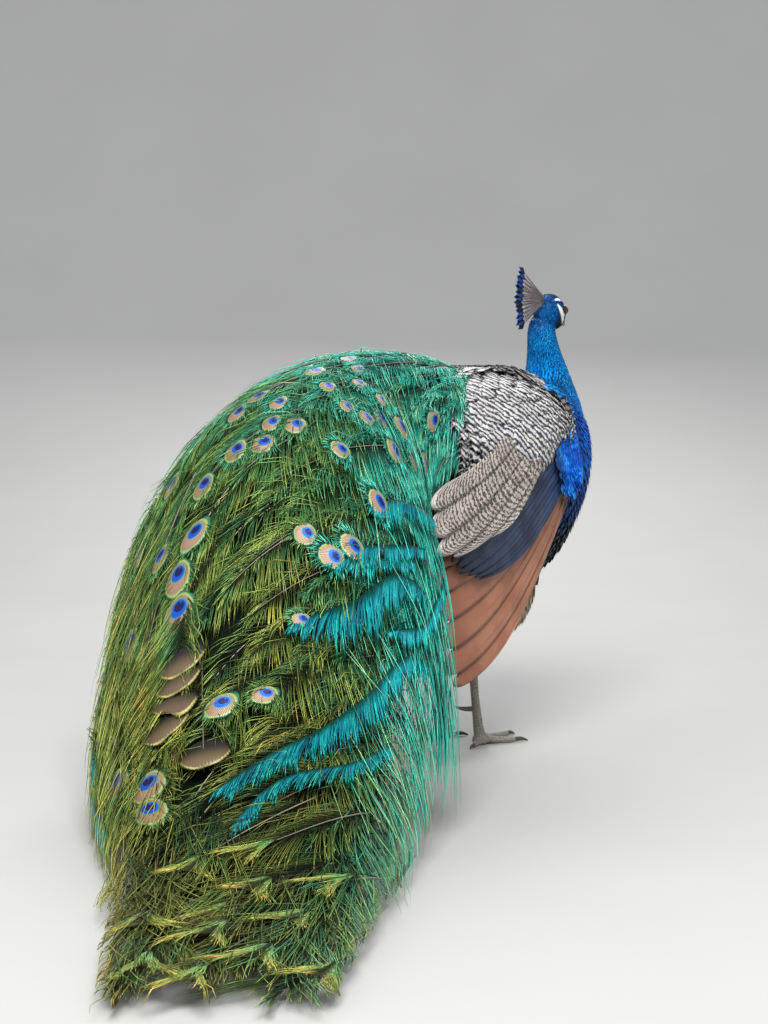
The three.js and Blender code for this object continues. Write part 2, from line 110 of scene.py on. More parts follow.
class Paint:
    def __init__(self, name, **plain):
        self.material = bpy.data.materials.new(name)
        self.material.use_nodes = True
        self.tree = self.material.node_tree
        self.shader = self.tree.nodes["Principled BSDF"]
        for key, value in plain.items():
            self.shader.inputs[key.replace("_", " ")].default_value = value

    def node(self, kind, settings=None, inputs=None, output=0):
        made = self.tree.nodes.new(kind)
        for key, value in (settings or {}).items():
            if key == "stops":
                ramp = made.color_ramp.elements
                while len(ramp) < len(value):
                    ramp.new(0.5)
                for element, (place, colour) in zip(ramp, value.items()):
                    element.position, element.color = place, shade(colour)
            else:
                setattr(made, key, value)
        for key, value in (inputs or {}).items():
            self.feed(made.inputs[key], value)
        return Wire(self, made.outputs[output])

    def feed(self, socket, value):
        if isinstance(value, Wire):
            self.tree.links.new(value.socket, socket)
        else:
            socket.default_value = shade(value) if isinstance(value, str) else value

    def sum(self, operation, a, b=0.0):
        return self.node("ShaderNodeMath", {"operation": operation}, {0: a, 1: b})

    def between(self, value, low, high):
        return self.node("ShaderNodeMapRange", {"interpolation_type": "SMOOTHSTEP"},
                         {0: value, 1: low, 2: high, 3: 0.0, 4: 1.0})

    def mix(self, factor, a, b):
        return self.node("ShaderNodeMix", {"data_type": "RGBA"}, {0: factor, 6: a, 7: b}, 2)

    # Colours over a first one, each as (value, low, high, colour) and, where it stays thin, how much it covers.
    def layers(self, colour, *rows):
        for value, low, high, top, *most in rows:
            factor = self.between(value, low, high)
            colour = self.mix(factor * most[0] if most else factor, colour, top)
        return colour

    def ramp(self, value, stops):
        return self.node("ShaderNodeValToRGB", {"stops": stops}, {0: value})

    def place(self):
        return self.node("ShaderNodeTexCoord", output=3)

    def own(self, name):
        return self.node("ShaderNodeAttribute", {"attribute_name": name}, output=1)

    def split(self, vector):
        first = self.node("ShaderNodeSeparateXYZ", inputs={0: vector})
        return [Wire(self, socket) for socket in first.socket.node.outputs]

    # the place as millimetres in the bird's own frame
    def inBird(self):
        return [part * 1000 - float(shift) for part, shift in zip(self.split(self.place()), birdShift)]

    def noise(self, vector, scale, detail=3.0):
        return self.node("ShaderNodeTexNoise", inputs={"Vector": vector, "Scale": scale, "Detail": detail,
                                                       "Roughness": 0.55})

    def stretch(self, vector, by):
        return self.node("ShaderNodeVectorMath", {"operation": "MULTIPLY"}, {0: vector, 1: by})

    def bump(self, height, depth, strength=0.5):
        self.feed(self.shader.inputs["Normal"], self.node("ShaderNodeBump", inputs={
            "Height": height, "Distance": depth, "Strength": strength}))

    def wear(self, **sockets):
        for key, value in sockets.items():
            self.feed(self.shader.inputs[key.replace("_", " ")], value)
        return self.material


# ---- meshes
def moveTo(shape, points):
    for vert, point in zip(shape.verts, points):
        vert.co = point


def warpedGrid(along, around, place):
    shape = bmesh.new()
    bmesh.ops.create_grid(shape, x_segments=along, y_segments=around, size=0.5)
    at = np.array([v.co for v in shape.verts]) + 0.5
    moveTo(shape, place(at[:, 0], at[:, 1]))
    bmesh.ops.remove_doubles(shape, verts=shape.verts, dist=1e-3)
    bmesh.ops.holes_fill(shape, edges=shape.edges, sides=0)
    bmesh.ops.recalc_face_normals(shape, faces=shape.faces)
    return shape


def fill(items, key, values):
    items.foreach_set(key, values.astype(np.float32).ravel())


def carry(mesh, label, values):
    fill(mesh.attributes.new(label, "FLOAT_VECTOR", "POINT").data, "vector", values)


def pieceOf(name, mesh, paint, slot):
    mesh.polygons.foreach_set("use_smooth", np.ones(len(mesh.polygons), bool))
    mesh.materials.append(paint)
    piece = bpy.data.objects.new(name, mesh)
    bpy.context.scene.collection.objects.link(piece)
    if slot:
        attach(piece, "root")
    return piece


def made(name, shape, paint, slot):
    mesh = bpy.data.meshes.new(name)
    bmesh.ops.transform(shape, matrix=toMetres, verts=shape.verts)
    shape.to_mesh(mesh)
    shape.free()
    return pieceOf(name, mesh, paint, slot)


def shellOf(shape):
    shape.verts.index_update()
    places = np.array([v.co for v in shape.verts])
    faces = [[v.index for v in face.verts] for face in shape.faces]
    shape.free()
    sides = sorted({len(face) for face in faces})
    return {"at": places, "faces": [np.array([f for f in faces if len(f) == n]) for n in sides]}


# A thin closed blade: a grid and its own mirror below it, joined round the edge. x is across, y along, z up or down.
def bladeShape(along, across):
    shape = bmesh.new()
    bmesh.ops.create_grid(shape, x_segments=across, y_segments=along, size=1)
    under = bmesh.ops.duplicate(shape, geom=shape.verts[:] + shape.edges[:] + shape.faces[:])["geom"]
    low = {item for item in under if isinstance(item, bmesh.types.BMVert)}
    bmesh.ops.reverse_faces(shape, faces=[item for item in under if isinstance(item, bmesh.types.BMFace)])
    for vert in shape.verts:
        x, y, _ = vert.co
        inside = 0 if max(abs(x), abs(y)) > 0.999 else (1 - x * x) ** 0.5
        vert.co = (x, (y + 1) / 2, -inside if vert in low else inside)
    bmesh.ops.remove_doubles(shape, verts=shape.verts, dist=1e-5)
    return shellOf(shape)


# A tapered three-sided strand along y, with rings at the places given and a point at its end.
def strandShape(rings):
    shape = bmesh.new()
    bmesh.ops.create_cone(shape, cap_ends=True, segments=3, radius1=1, radius2=0.0, depth=1)
    bmesh.ops.translate(shape, verts=shape.verts, vec=(0, 0, 0.5))
    for place in rings[1:]:
        bmesh.ops.bisect_plane(shape, geom=shape.verts[:] + shape.edges[:] + shape.faces[:],
                               plane_co=(0, 0, place), plane_no=(0, 0, 1))
    bmesh.ops.remove_doubles(shape, verts=shape.verts, dist=1e-5)
    bmesh.ops.recalc_face_normals(shape, faces=shape.faces)
    for vert in shape.verts:
        x, y, z = vert.co
        far = math.hypot(x, y)
        vert.co = (x / far, z, y / far) if far > 1e-6 else (0, z, 0)
    return shellOf(shape) | {"stops": np.append(rings, 1.0)}


# Copies of blades and strands, joined into pieces that hold at most so many triangles.
class Coat:
    most = 190000

    def __init__(self, name, paint, slot):
        self.name, self.paint, self.slot = name, paint, slot
        self.batches = []

    # shape, its points for each copy, each root's place on the unwrap, the patch's width, and the tint
    def add(self, shape, points, root, patch, tint):
        across, along = shape["at"][:, :2].T
        tint = np.asarray(tint, float)[:, None]
        uv = np.clip(root, 0.01, 0.99)[:, None] + stacked(across * 0.5, along - 0.5) * patch
        columns = [points, uv, stacked(across, along, tint[..., 2]), np.broadcast_to(tint, points.shape)]
        self.batches.append((shape, np.concatenate(columns, -1)))

    def finish(self, *replaced):
        groups, held = [[]], 0
        for shape, copies in self.batches:
            each = sum(len(f) * (f.shape[1] - 2) for f in shape["faces"])
            while len(copies):
                if self.most - held < each:
                    groups.append([])
                    held = 0
                take = (self.most - held) // each
                groups[-1].append((shape, copies[:take]))
                held += len(copies[:take]) * each
                copies = copies[take:]
        pieces = [self.build(f"{self.name}{i + 1}" if len(groups) > 1 else self.name, group)
                  for i, group in enumerate(groups)]
        if replaced:
            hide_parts(*replaced)
        print(self.name, "in", len(pieces), "pieces")

    def build(self, name, group):
        corners, sizes, base = [], [], 0
        for shape, copies in group:
            shift = base + np.arange(len(copies))[:, None, None] * copies.shape[1]
            for faces in shape["faces"]:
                corners.append((faces + shift).ravel())
                sizes.append(np.full(len(copies) * len(faces), faces.shape[1]))
            base += copies.shape[0] * copies.shape[1]
        corners, sizes = np.concatenate(corners), np.concatenate(sizes)
        at, uv, vane, tint = np.split(np.concatenate([copies.reshape(-1, 11) for _, copies in group]), [3, 5, 8], 1)
        mesh = bpy.data.meshes.new(name)
        mesh.vertices.add(len(at))
        fill(mesh.vertices, "co", toFrame(at))
        mesh.loops.add(len(corners))
        mesh.loops.foreach_set("vertex_index", corners.astype(np.int32))
        mesh.polygons.add(len(sizes))
        mesh.polygons.foreach_set("loop_start", (np.cumsum(sizes) - sizes).astype(np.int32))
        mesh.update(calc_edges=True)
        fill(mesh.uv_layers.new(name="OFBake").data, "uv", uv[corners])
        carry(mesh, "vane", vane)
        carry(mesh, "tint", tint)
        return pieceOf(name, mesh, self.paint, self.slot)


# Strands along paths: path and normal are (copies, stops, 3), radius broadcasts to (copies, stops).
def strandPoints(shape, path, normal, radius, flat=1.0):
    ring = np.abs(shape["at"][:, 1:2] - shape["stops"]).argmin(1)
    side = unit(np.cross(normal, unit(np.gradient(path, axis=1))))
    across, _, up = (shape["at"] * (ring < len(shape["stops"]) - 1)[:, None]).T
    wide = np.broadcast_to(radius, path.shape[:2])[:, ring, None]
    return path[:, ring] + side[:, ring] * across[:, None] * wide + normal[:, ring] * up[:, None] * wide * flat


def leafOutline(y):
    return np.sin(np.pi * np.clip(0.1 + 0.9 * y, 0, 1) ** 1.5) ** 0.6 * 0.9 + 0.1 * (1 - y)


# Blades laid flat on a surface: root, way and normal are (copies, 3), each size is one number or (copies,).
def bladePoints(shape, root, way, normal, length, width, lift, cup, bow=0.0, outline=leafOutline, blunt=0.2,
                thick=0.25):
    x, y, z = shape["at"].T
    length, width, lift, cup, bow = (np.atleast_1d(size)[:, None] for size in (length, width, lift, cup, bow))
    wide = outline(y)
    across = x * wide * width / 2
    along = y * length * (1 - blunt * x * x * y)
    swell = z * thick * np.sqrt(np.clip(y * (1 - y) * 4, 0, 1))
    high = lift * y - bow * (y * y) * length - cup * x * x * wide + swell
    return (root[:, None] + way[:, None] * along[..., None] + np.cross(normal, way)[:, None] * across[..., None]
            + normal[:, None] * high[..., None])


leafSmall = bladeShape(3, 2)
leafMid = bladeShape(6, 2)
leafFine = bladeShape(6, 4)
leafBroad = bladeShape(16, 8)
barbStrand = strandShape([0.0, 0.3, 0.65])
shaftStrand = strandShape([0.0, 0.12, 0.25, 0.37, 0.5, 0.62, 0.75, 0.87])

# ---- the body under the feathers
body = {
    "trunk": [[274, 362, 14, 12], [267, 360, 40, 38], [246, 352, 78, 66], [212, 338, 108, 84],
              [165, 325, 136, 94], [95, 318, 148, 97], [25, 320, 147, 95], [-40, 334, 136, 88],
              [-100, 356, 115, 75], [-150, 379, 87, 58], [-192, 396, 52, 38], [-214, 402, 16, 13]],
    "neck": [[188, 0, 350, 64], [214, 0, 383, 62], [229, 0, 404, 54], [235, 0, 426, 43], [236, 0, 448, 32.5],
             [230, -1, 466, 26.5], [223, -2, 484, 22.5], [219, -2, 503, 20], [222, -2, 520, 17]],
    "head": [[-29, -4, 5, 4], [-26, -3, 13, 11], [-18, -1, 21, 17.5], [-6, 0, 24.5, 20.5], [8, -1, 22.5, 19.5],
             [19, -3, 17.5, 15.5], [27, -5, 12, 11], [31, -6, 8.5, 8]],
    "headAt": (241, -2, 529), "headTurn": math.radians(12), "headNod": math.radians(5),
    "coatDepth": {"trunk": 7.0, "neck": 4.0, "head": 1.2, "thigh": 5.0},
    "voxel": 0.0023,
}
headPlace = Matrix.Translation(body["headAt"]) @ Matrix.Rotation(body["headTurn"], 4, "Z") @ Matrix.Rotation(
    body["headNod"], 4, "Y")
headTurned = np.array(headPlace.to_3x3())
headOrigin = np.array(body["headAt"], float)
# How far the head goes from its middle, and the heights from which it is shaped, cut finer and laid bare.
faceReach = {"far": 34, "near": 33, "chin": 505, "fineFrom": 508, "bareFrom": 500, "loresFrom": 29}


def onHead(points):
    return np.asarray(points, float) @ headTurned.T + headOrigin


def fromHead(points):
    return (np.asarray(points, float) - headOrigin) @ headTurned


def inHead(points, reach, above):
    return (norm(fromHead(points)) < reach) & (points[..., 2] > above)


def levelTube(stations, u, v, grow, fullness=2.1):
    x, z, high, wide = np.moveaxis(spline(stations, u), -1, 0)
    c, s = np.cos(2 * np.pi * v), np.sin(2 * np.pi * v)
    around = (np.abs(c) ** fullness + np.abs(s) ** fullness) ** (-1 / fullness)
    way = np.sign(stations[0][0] - stations[-1][0])
    end = np.where(u <= 0, way * grow, np.where(u >= 1, -way * grow, 0))
    return stacked(x + end, (wide + grow) * around * c, z + (high + grow) * around * s)


def neckTube(u, v, grow):
    x, y, z, radius = np.moveaxis(spline(body["neck"], u), -1, 0)
    ahead, behind = spline(body["neck"], u + 0.02), spline(body["neck"], u - 0.02)
    tilt = np.arctan2(ahead[..., 0] - behind[..., 0], ahead[..., 2] - behind[..., 2]) * 0.6
    out = (radius + grow) * np.cos(2 * np.pi * v)
    return stacked(x + out * np.cos(tilt), y + (radius + grow) * np.sin(2 * np.pi * v), z - out * np.sin(tilt))


def rodTube(rows, u, v, grow=0.0):
    here, ahead = spline(rows, u), unit(spline(rows, u + 0.01)[..., :3] - spline(rows, u - 0.01)[..., :3])
    across = unit(np.cross(ahead, [0.0, 1.0, 0.0]))
    other = np.cross(ahead, across)
    r = (here[..., 3] + grow)[..., None]
    return here[..., :3] + r * (across * np.cos(2 * np.pi * v)[..., None] + other * np.sin(2 * np.pi * v)[..., None])


# The right leg from [ahead, outwards, up] of its foot; the left one is its mirror, set at its own place.
leg = {
    "foot": [6, -40], "leftMove": [-11, -4, 0], "fineTo": 142, "softTo": 140, "bareTo": 143,
    "thigh": [[52, 12, 250, 44], [30, 16, 176, 37], [-14, 8, 146, 20], [-28, 3, 134, 10]],
    "shank": [[-31, 4, 141, 5], [-28, 3, 134, 7.6], [-22, 3, 112, 5.8], [-12, 1, 62, 5.4], [-3, 0, 26, 6.4],
              [0, 0, 15, 7.2], [4, 0, 7, 6.5]],
    "toes": {"middle": (2, 66, 5.2), "inner": (-34, 48, 4.8), "outer": (36, 51, 4.7), "hind": (168, 22, 4.0)},
    # a toe's rings: how far out, and the height and radius as shares of its own radius
    "toeRings": [(0.3, 1.15, 1.0), (0.62, 0.8, 0.95), (0.9, 0.72, 0.8), (1.0, 0.7, 0.45)],
    "claw": {"length": 14, "radius": 2.7, "tip": 1.0}, "sole": {"at": [8, -40, 6], "size": (10.5, 10.5, 7.5)},
}


def legRows(rows):
    return [[leg["foot"][0] + ahead, leg["foot"][1] - out, up, radius] for ahead, out, up, radius in rows]


def toeRows(name):
    angle, length, radius = leg["toes"][name]
    c, s = math.cos(math.radians(angle)) * length, math.sin(math.radians(angle)) * length
    rings = [[c * out, s * out, radius * up, radius * wide] for out, up, wide in leg["toeRings"]]
    return legRows([[0, 0, 14 if name == "hind" else 11, radius * 1.15], *rings])


def clawRows(name):
    angle, length, radius = leg["toes"][name]
    size = 0.8 if name == "hind" else 1.0
    c, s, claw = math.cos(math.radians(angle)), math.sin(math.radians(angle)), leg["claw"]
    rings = [(-5, radius * 0.75, 1.0), (2, radius * 0.85, 1.0), (claw["length"] * 0.55 * size, 3.4, 0.72),
             (claw["length"] * size, claw["tip"], 0.3)]
    return legRows([[c * (length + out), s * (length + out), up, claw["radius"] * wide * size]
                    for out, up, wide in rings])


def mirrored(points, side):
    points = np.array(points, float)
    if side > 0:
        points[..., 1] *= -1
        points += leg["leftMove"]
    return points


def joined(shapes):
    whole = bmesh.new()
    for shape in shapes:
        part = bpy.data.meshes.new("part")
        shape.to_mesh(part)
        shape.free()
        whole.from_mesh(part)
        bpy.data.meshes.remove(part)
    return whole


def skinShape():
    depth = body["coatDepth"]
    shapes = [
        warpedGrid(60, 60, lambda u, v: levelTube(body["trunk"], u, v, -depth["trunk"])),
        warpedGrid(50, 48, lambda u, v: neckTube(u, v, -depth["neck"] * (1 - 0.5 * u))),
        warpedGrid(40, 48, lambda u, v: onHead(levelTube(body["head"], u, v, -depth["head"]))),
    ]
    for side in (-1, 1):
        rods = [(legRows(leg["thigh"]), -depth["thigh"]), (legRows(leg["shank"]), 0.0)]
        rods += [(toeRows(name), 0.0) for name in leg["toes"]]
        shapes += [warpedGrid(24, 24, lambda u, v, rod=rod, grow=grow: mirrored(rodTube(rod, u, v, grow), side))
                   for rod, grow in rods]
        sole = bmesh.new()
        bmesh.ops.create_uvsphere(sole, u_segments=20, v_segments=12, radius=1)
        bmesh.ops.scale(sole, verts=sole.verts, vec=leg["sole"]["size"])
        bmesh.ops.translate(sole, verts=sole.verts, vec=mirrored(leg["sole"]["at"], side))
        shapes.append(sole)
    return joined(shapes)


def remeshed(shape, voxel, rounds):
    rough = made("rough", shape, None, None)
    voxels = rough.modifiers.new("voxels", "REMESH")
    voxels.mode, voxels.voxel_size = "VOXEL", voxel
    soft = rough.modifiers.new("soft", "SMOOTH")
    soft.factor, soft.iterations = 0.5, rounds
    bpy.context.view_layer.update()
    mesh = bpy.data.meshes.new_from_object(rough.evaluated_get(bpy.context.evaluated_depsgraph_get()))
    bpy.data.objects.remove(rough)
    result = bmesh.new()
    result.from_mesh(mesh)
    bpy.data.meshes.remove(mesh)
    bmesh.ops.transform(result, matrix=toMetres.inverted(), verts=result.verts)
    return result


face = {
    "eye": np.array([10, 15.4, 3.5]), "eyeRadius": 6.2, "opening": (5.4, 4.3), "lid": 0.55, "lidRidge": 0.5,
    # bare white skin: lines of ahead, up and half width
    "crescent": [[-15, 9.5, 2.0], [-10, 3.5, 4.8], [-2, -4.5, 5.6], [7, -9.5, 4.4], [16, -12, 1.4]],
    "brow": [[-16, 15.0, 1.2], [-8, 16.4, 2.0], [4, 15.6, 1.8], [16, 10.5, 1.0]],
    "clearLid": 8.2,
}


# How bare the face is at points in the head's own frame, from 0 feathered to 1 white skin.
def bareFace(points):
    f, s, u = np.moveaxis(points, -1, 0)
    bare = np.zeros(f.shape)
    for line in (face["crescent"], face["brow"]):
        for ahead, up, half in spline(line, np.linspace(0, 1, 24)):
            bare = np.maximum(bare, np.clip(2.6 - 2.1 * np.hypot(f - ahead, u - up) / half, 0, 1))
    return bare * (np.abs(s) > 7)


def shapeFace(points):
    outwards = np.sign(points[..., 1])
    points = points.copy()
    points[..., 1] -= outwards * 0.5 * bareFace(points)
    for side in (-1, 1):
        centre = face["eye"] * (1, side, 1)
        away = points - centre
        far = norm(away)
        e = np.hypot(away[..., 0] / face["opening"][0], away[..., 2] / face["opening"][1])
        near = (away[..., 1] * side > -1) & (e < 2.2)
        lid = face["eyeRadius"] + face["lid"] + face["lidRidge"] * np.exp(-((e - 1.15) / 0.14) ** 2)
        target = np.where(e < 1, face["eyeRadius"] - 1.6 * ease((1 - e) / 0.12),
                          blend(lid, np.maximum(far, lid - 0.3), ease((e - 1.3) / 0.6)))
        points = np.where(near[..., None], centre + unit(away) * target[..., None], points)
    return points


def headGap(at):
    return (at - Vector(body["headAt"])).length


def cutFiner(shape, chosen, cuts):
    edges = {e for f in shape.faces if chosen(f.calc_center_median()) for e in f.edges}
    bmesh.ops.subdivide_edges(shape, edges=list(edges), cuts=cuts, use_grid_fill=True)


def buildSkin(paint):
    shape = remeshed(skinShape(), body["voxel"], 3)
    cutFiner(shape, lambda at: headGap(at) < faceReach["near"] and at.z > faceReach["fineFrom"], 3)
    cutFiner(shape, lambda at: at.z < leg["fineTo"], 1)
    fine = [v for v in shape.verts if v.co.z < leg["softTo"] or headGap(v.co) < faceReach["near"]]
    for _ in range(3):
        bmesh.ops.smooth_vert(shape, verts=fine, factor=0.5, use_axis_x=True, use_axis_y=True, use_axis_z=True)
    at = np.array([v.co for v in shape.verts])
    onFace = inHead(at, faceReach["far"], faceReach["chin"])
    at[onFace] = onHead(shapeFace(fromHead(at[onFace])))
    at += scutes(at, np.array([v.normal for v in shape.verts]))
    at[:, 2] = np.maximum(at[:, 2], 0.0)
    moveTo(shape, at)
    bmesh.ops.triangulate(shape, faces=[f for f in shape.faces if len(f.verts) > 4])
    skin = made("skin", shape, paint, "blue_plumage")
    local = fromHead(at)
    bare = np.where(norm(local) < faceReach["far"], bareFace(local), 0)
    carry(skin.data, "mark", stacked(bare, local[:, 0], local[:, 2]))
    return skin


# Scales of the shanks and toes: broad steps down the front, small ones behind.
def scutes(at, normals):
    depth = np.zeros(len(at))
    for side in (-1, 1):
        foot = mirrored([leg["foot"][0], leg["foot"][1], 0.0], side)
        near = np.hypot(at[:, 0] - foot[0], at[:, 1] - foot[1])
        shank = ease((140 - at[:, 2]) / 10) * ease((at[:, 2] - 12) / 6)
        toe = ease((14 - at[:, 2]) / 4) * ease((near - 10) / 4) * (near < 75) * (at[:, 2] > 2.5)
        on = (np.abs(at[:, 1] - foot[1]) < 60) * (np.sign(at[:, 1]) == np.sign(foot[1]))
        front = np.clip(0.35 + normals[:, 0], 0, 1)
        depth += on * shank * 0.38 * front * ((at[:, 2] / 4.6) % 1 - 0.5)
        depth += on * toe * 0.3 * (1 - np.abs((near / 4.0) % 1 - 0.5) * 2)
    return normals * depth[:, None]


# Heights, or places ahead, between which one colour passes into the next.
bands = {"belly": (236.0, 290.0), "low": (290.0, 360.0), "neck": (380.0, 440.0), "crown": (494.0, 514.0),
         "rump": (420.0, 380.0), "behind": (110.0, 50.0), "thigh": (236.0, 214.0), "thighBack": (120.0, 100.0),
         "leg": (146.0, 138.0), "glossy": (225.0, 240.0), "edged": (300.0, 420.0)}


# Colours that the skin and the feathers over it share, from the place on the body and on the head.
def bodyColour(paint, ahead, up):
    at = paint.place()
    x, _, z = paint.inBird()
    patch, fine, specks = paint.noise(at, 22.0), paint.noise(at, 260.0, 2.0), paint.noise(at, 520.0, 2.0)
    neck = paint.ramp(patch, {0.3: "005a98", 0.48: "0082d2", 0.62: "08a6f2"})
    neck = paint.layers(neck, (fine, 0.5, 0.7, "007a80", 0.6))
    breast = paint.layers("0247a6", (patch, 0.4, 0.62, "0472da"), (z, *bands["neck"], neck))
    low = paint.layers("06306e", (fine, 0.4, 0.7, "0a4c98"), (z, *bands["low"], breast))
    belly = paint.layers("101a22", (fine, 0.4, 0.7, "14302c"))
    colour = paint.layers(belly, (z, *bands["belly"], low))
    rump = paint.between(z, *bands["rump"])
    thigh = paint.between(z, *bands["thigh"])
    colour = paint.layers(colour, (x, *bands["behind"], belly, rump),
                          (x, *bands["thighBack"], paint.mix(fine, "8c7a5c", "b5a27e"), thigh))
    # the head: speckled crown, a dark stripe through the eye, and painted shade on the lower cheek
    crown = paint.ramp(specks, {0.36: "04305a", 0.5: "0a5aaa", 0.64: "108ae0"})
    stripe = paint.between(paint.sum("ABSOLUTE", up - ahead * 0.06 - 2.0), 6.0, 4.2)
    stripe = stripe * paint.between(ahead, -14.0, -6.0)
    # painted shade: the face is darkened below the eye and towards the bill
    cheekShade = paint.between(up + ahead * 0.5, 0.0, -7.0) * paint.between(ahead, -17.0, -8.0)
    dark = paint.sum("MAXIMUM", stripe, cheekShade) * (0.95 - paint.between(specks, 0.55, 0.7) * 0.4)
    return paint.layers(colour, (z, *bands["crown"], paint.mix(dark, crown, "050b14"))), z


def paintSkin():
    paint = Paint("bareAndDownySkin", Roughness=0.6)
    at = paint.place()
    bare, ahead, up = paint.split(paint.own("mark"))
    colour, z = bodyColour(paint, ahead, up)
    colour = paint.mix(0.6, colour, "050d18")   # shadow between the feathers
    fine = paint.noise(at, 900.0)
    colour = paint.layers(colour, (bare, 0.35, 0.6, paint.mix(fine, "efeee6", "cfd3cc")))
    edge = paint.node("ShaderNodeTexVoronoi", {"feature": "DISTANCE_TO_EDGE"}, {"Vector": at, "Scale": 420.0})
    legs = paint.layers("575048", (edge, 0.0, 0.12, paint.mix(paint.noise(at, 180.0), "7a736a", "aaa296")))
    onLeg = paint.between(z, *bands["leg"])
    paint.bump(fine * (1 - onLeg) + paint.between(edge, 0.0, 0.2) * onLeg * 2.0, 0.0003, 0.6)
    return paint.wear(Base_Color=paint.mix(onLeg, colour, legs), Roughness=0.5 + fine * 0.2)


skin = buildSkin(paintSkin())
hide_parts("trunk", "neck", "head", *[f"{part}_{side}" for side in ("right", "left")
                                             for part in ("thigh", "shank", "foot")])
print("skin:", len(skin.data.polygons), "faces")


# ---- small feathers of the head, neck, breast and thighs
def pulled(items, key, kind=np.float32):
    values = np.zeros(len(items) * 3, kind)
    items.foreach_get(key, values)
    return values.reshape(-1, 3)


def scatterOn(mesh, spacing, keep, seed):
    chance = np.random.default_rng(seed)
    mesh.calc_loop_triangles()
    corners = pulled(mesh.loop_triangles, "vertices", np.int32)
    at, normals = pulled(mesh.vertices, "co") * 1000.0 - birdShift, pulled(mesh.vertices, "normal")
    a, b, c = (at[corners[:, k]] for k in range(3))
    middle = (a + b + c) / 3
    area = norm(np.cross(b - a, c - a)) / 2 * keep(middle)
    share = area / spacing(middle) ** 2
    count = int(share.sum() * 4)
    chosen = chance.choice(len(share), count, p=share / share.sum())
    r1, r2 = np.sqrt(chance.random(count)), chance.random(count)
    weights = np.stack([1 - r1, r1 * (1 - r2), r1 * r2], -1)
    points = (at[corners[chosen]] * weights[..., None]).sum(1)
    turned = unit((normals[corners[chosen]] * weights[..., None]).sum(1))
    apart = spacing(points)
    tree = KDTree(count)
    for i, point in enumerate(points):
        tree.insert(point, i)
    tree.balance()
    gone = np.zeros(count, bool)
    for i in range(count):
        if not gone[i]:
            for _, j, _ in tree.find_range(points[i], apart[i]):
                if j > i:
                    gone[j] = True
    return points[~gone], turned[~gone], apart[~gone], chance


plumage = {
    # how far apart feathers stand: on the head, and elsewhere by height
    "headSpacing": 1.5, "heights": [150, 250, 330, 400, 470, 505], "spacings": [6.5, 7.0, 7.0, 4.6, 2.5, 2.0],
    "lengthToSpacing": 3.5, "widthToSpacing": 1.9, "clearance": 1.3, "underWings": 290,
}


def bodySpacing(at):
    spaced = np.interp(at[..., 2], plumage["heights"], plumage["spacings"])
    return np.where(inHead(at, faceReach["near"], faceReach["chin"]), plumage["headSpacing"], spaced)


# How far ahead the barred feathers of the back and shoulders reach.
def mantleEdge(at):
    return np.interp(np.abs(at[..., 1]), [0, 30, 60, 90, 120], [186, 176, 150, 118, 100])


def feathered(at):
    local = fromHead(at)
    eyeGap = np.min([norm(local - face["eye"] * (1, side, 1)) for side in (-1, 1)], 0)
    bald = (bareFace(local) > 0.35) | (eyeGap < face["clearLid"]) | (local[..., 0] > faceReach["loresFrom"])
    hidden = (at[..., 0] < mantleEdge(at) - 14) & (at[..., 2] > plumage["underWings"])
    bald = bald & inHead(at, faceReach["near"], faceReach["bareFrom"])
    return (~bald & ~hidden & (at[..., 2] > leg["bareTo"])).astype(float)


# How much more the tips have to rise where the skin is hollow, so that none dives into it.
def hollowLift(roots, ways, length):
    rise = np.zeros(len(roots))
    for i, tip in enumerate(toFrame(roots + ways * length[:, None])):
        found, near, facing, _ = skin.closest_point_on_mesh(tip)
        if found:
            rise[i] = plumage["clearance"] - 1000 * (Vector(tip) - near).dot(facing)
    return np.clip(rise, 0, 0.8 * length)


# The way feathers lie: back on the trunk, down on the neck and thigh, back from the bill on the head.
def lieOf(at):
    local = fromHead(at)
    x, z = at[..., 0], at[..., 2]
    w = ease((x - 130) / 110)
    way = blend(stacked(w - 1.12, 0.0, -w - 0.2), np.array([-0.05, 0.0, -1.0]), ease((z - 385) / 50)[..., None])
    way = blend(way, np.array([-0.35, 0.0, -1.0]), ease((225 - z) / 30)[..., None])
    fall = 0.25 + 0.7 * ease((-8 - local[..., 2]) / 12) + 0.5 * ease((-local[..., 0] - 8) / 14)
    headShare = ease((faceReach["far"] - norm(local)) / 6) * ease((z - 498) / 14)
    return blend(way, stacked(-1.0, 0.0, -fall) @ headTurned.T, headShare[..., None])


# Where a point of the body falls on its unwrap: along the line from rump to bill, and round it.
bodyLine = np.array([[-214, 0, 402], [-120, 0, 362], [-20, 0, 330], [80, 0, 320], [160, 0, 326], [205, 0, 350],
                     [226, 0, 395], [235, 0, 430], [234, 0, 460], [222, -2, 485], [220, -2, 505], [226, -2, 520],
                     [241, -2, 529], [262, 2, 526], [300, 10, 520]], float)


def bodyUnwrap(at):
    steps = spline(bodyLine, np.linspace(0, 1, 90))
    near = np.array([((at - step) ** 2).sum(-1) for step in steps]).argmin(0)
    ahead = unit(np.gradient(steps, axis=0))[near]
    side = np.array([0.0, 1.0, 0.0])
    up = np.cross(ahead, side)
    away = at - steps[near]
    angle = np.arctan2(away @ side, (away * up).sum(-1)) / (2 * np.pi) + 0.5
    return np.stack([near / 90.0 * 0.9 + 0.05, angle * 0.9 + 0.05], -1)


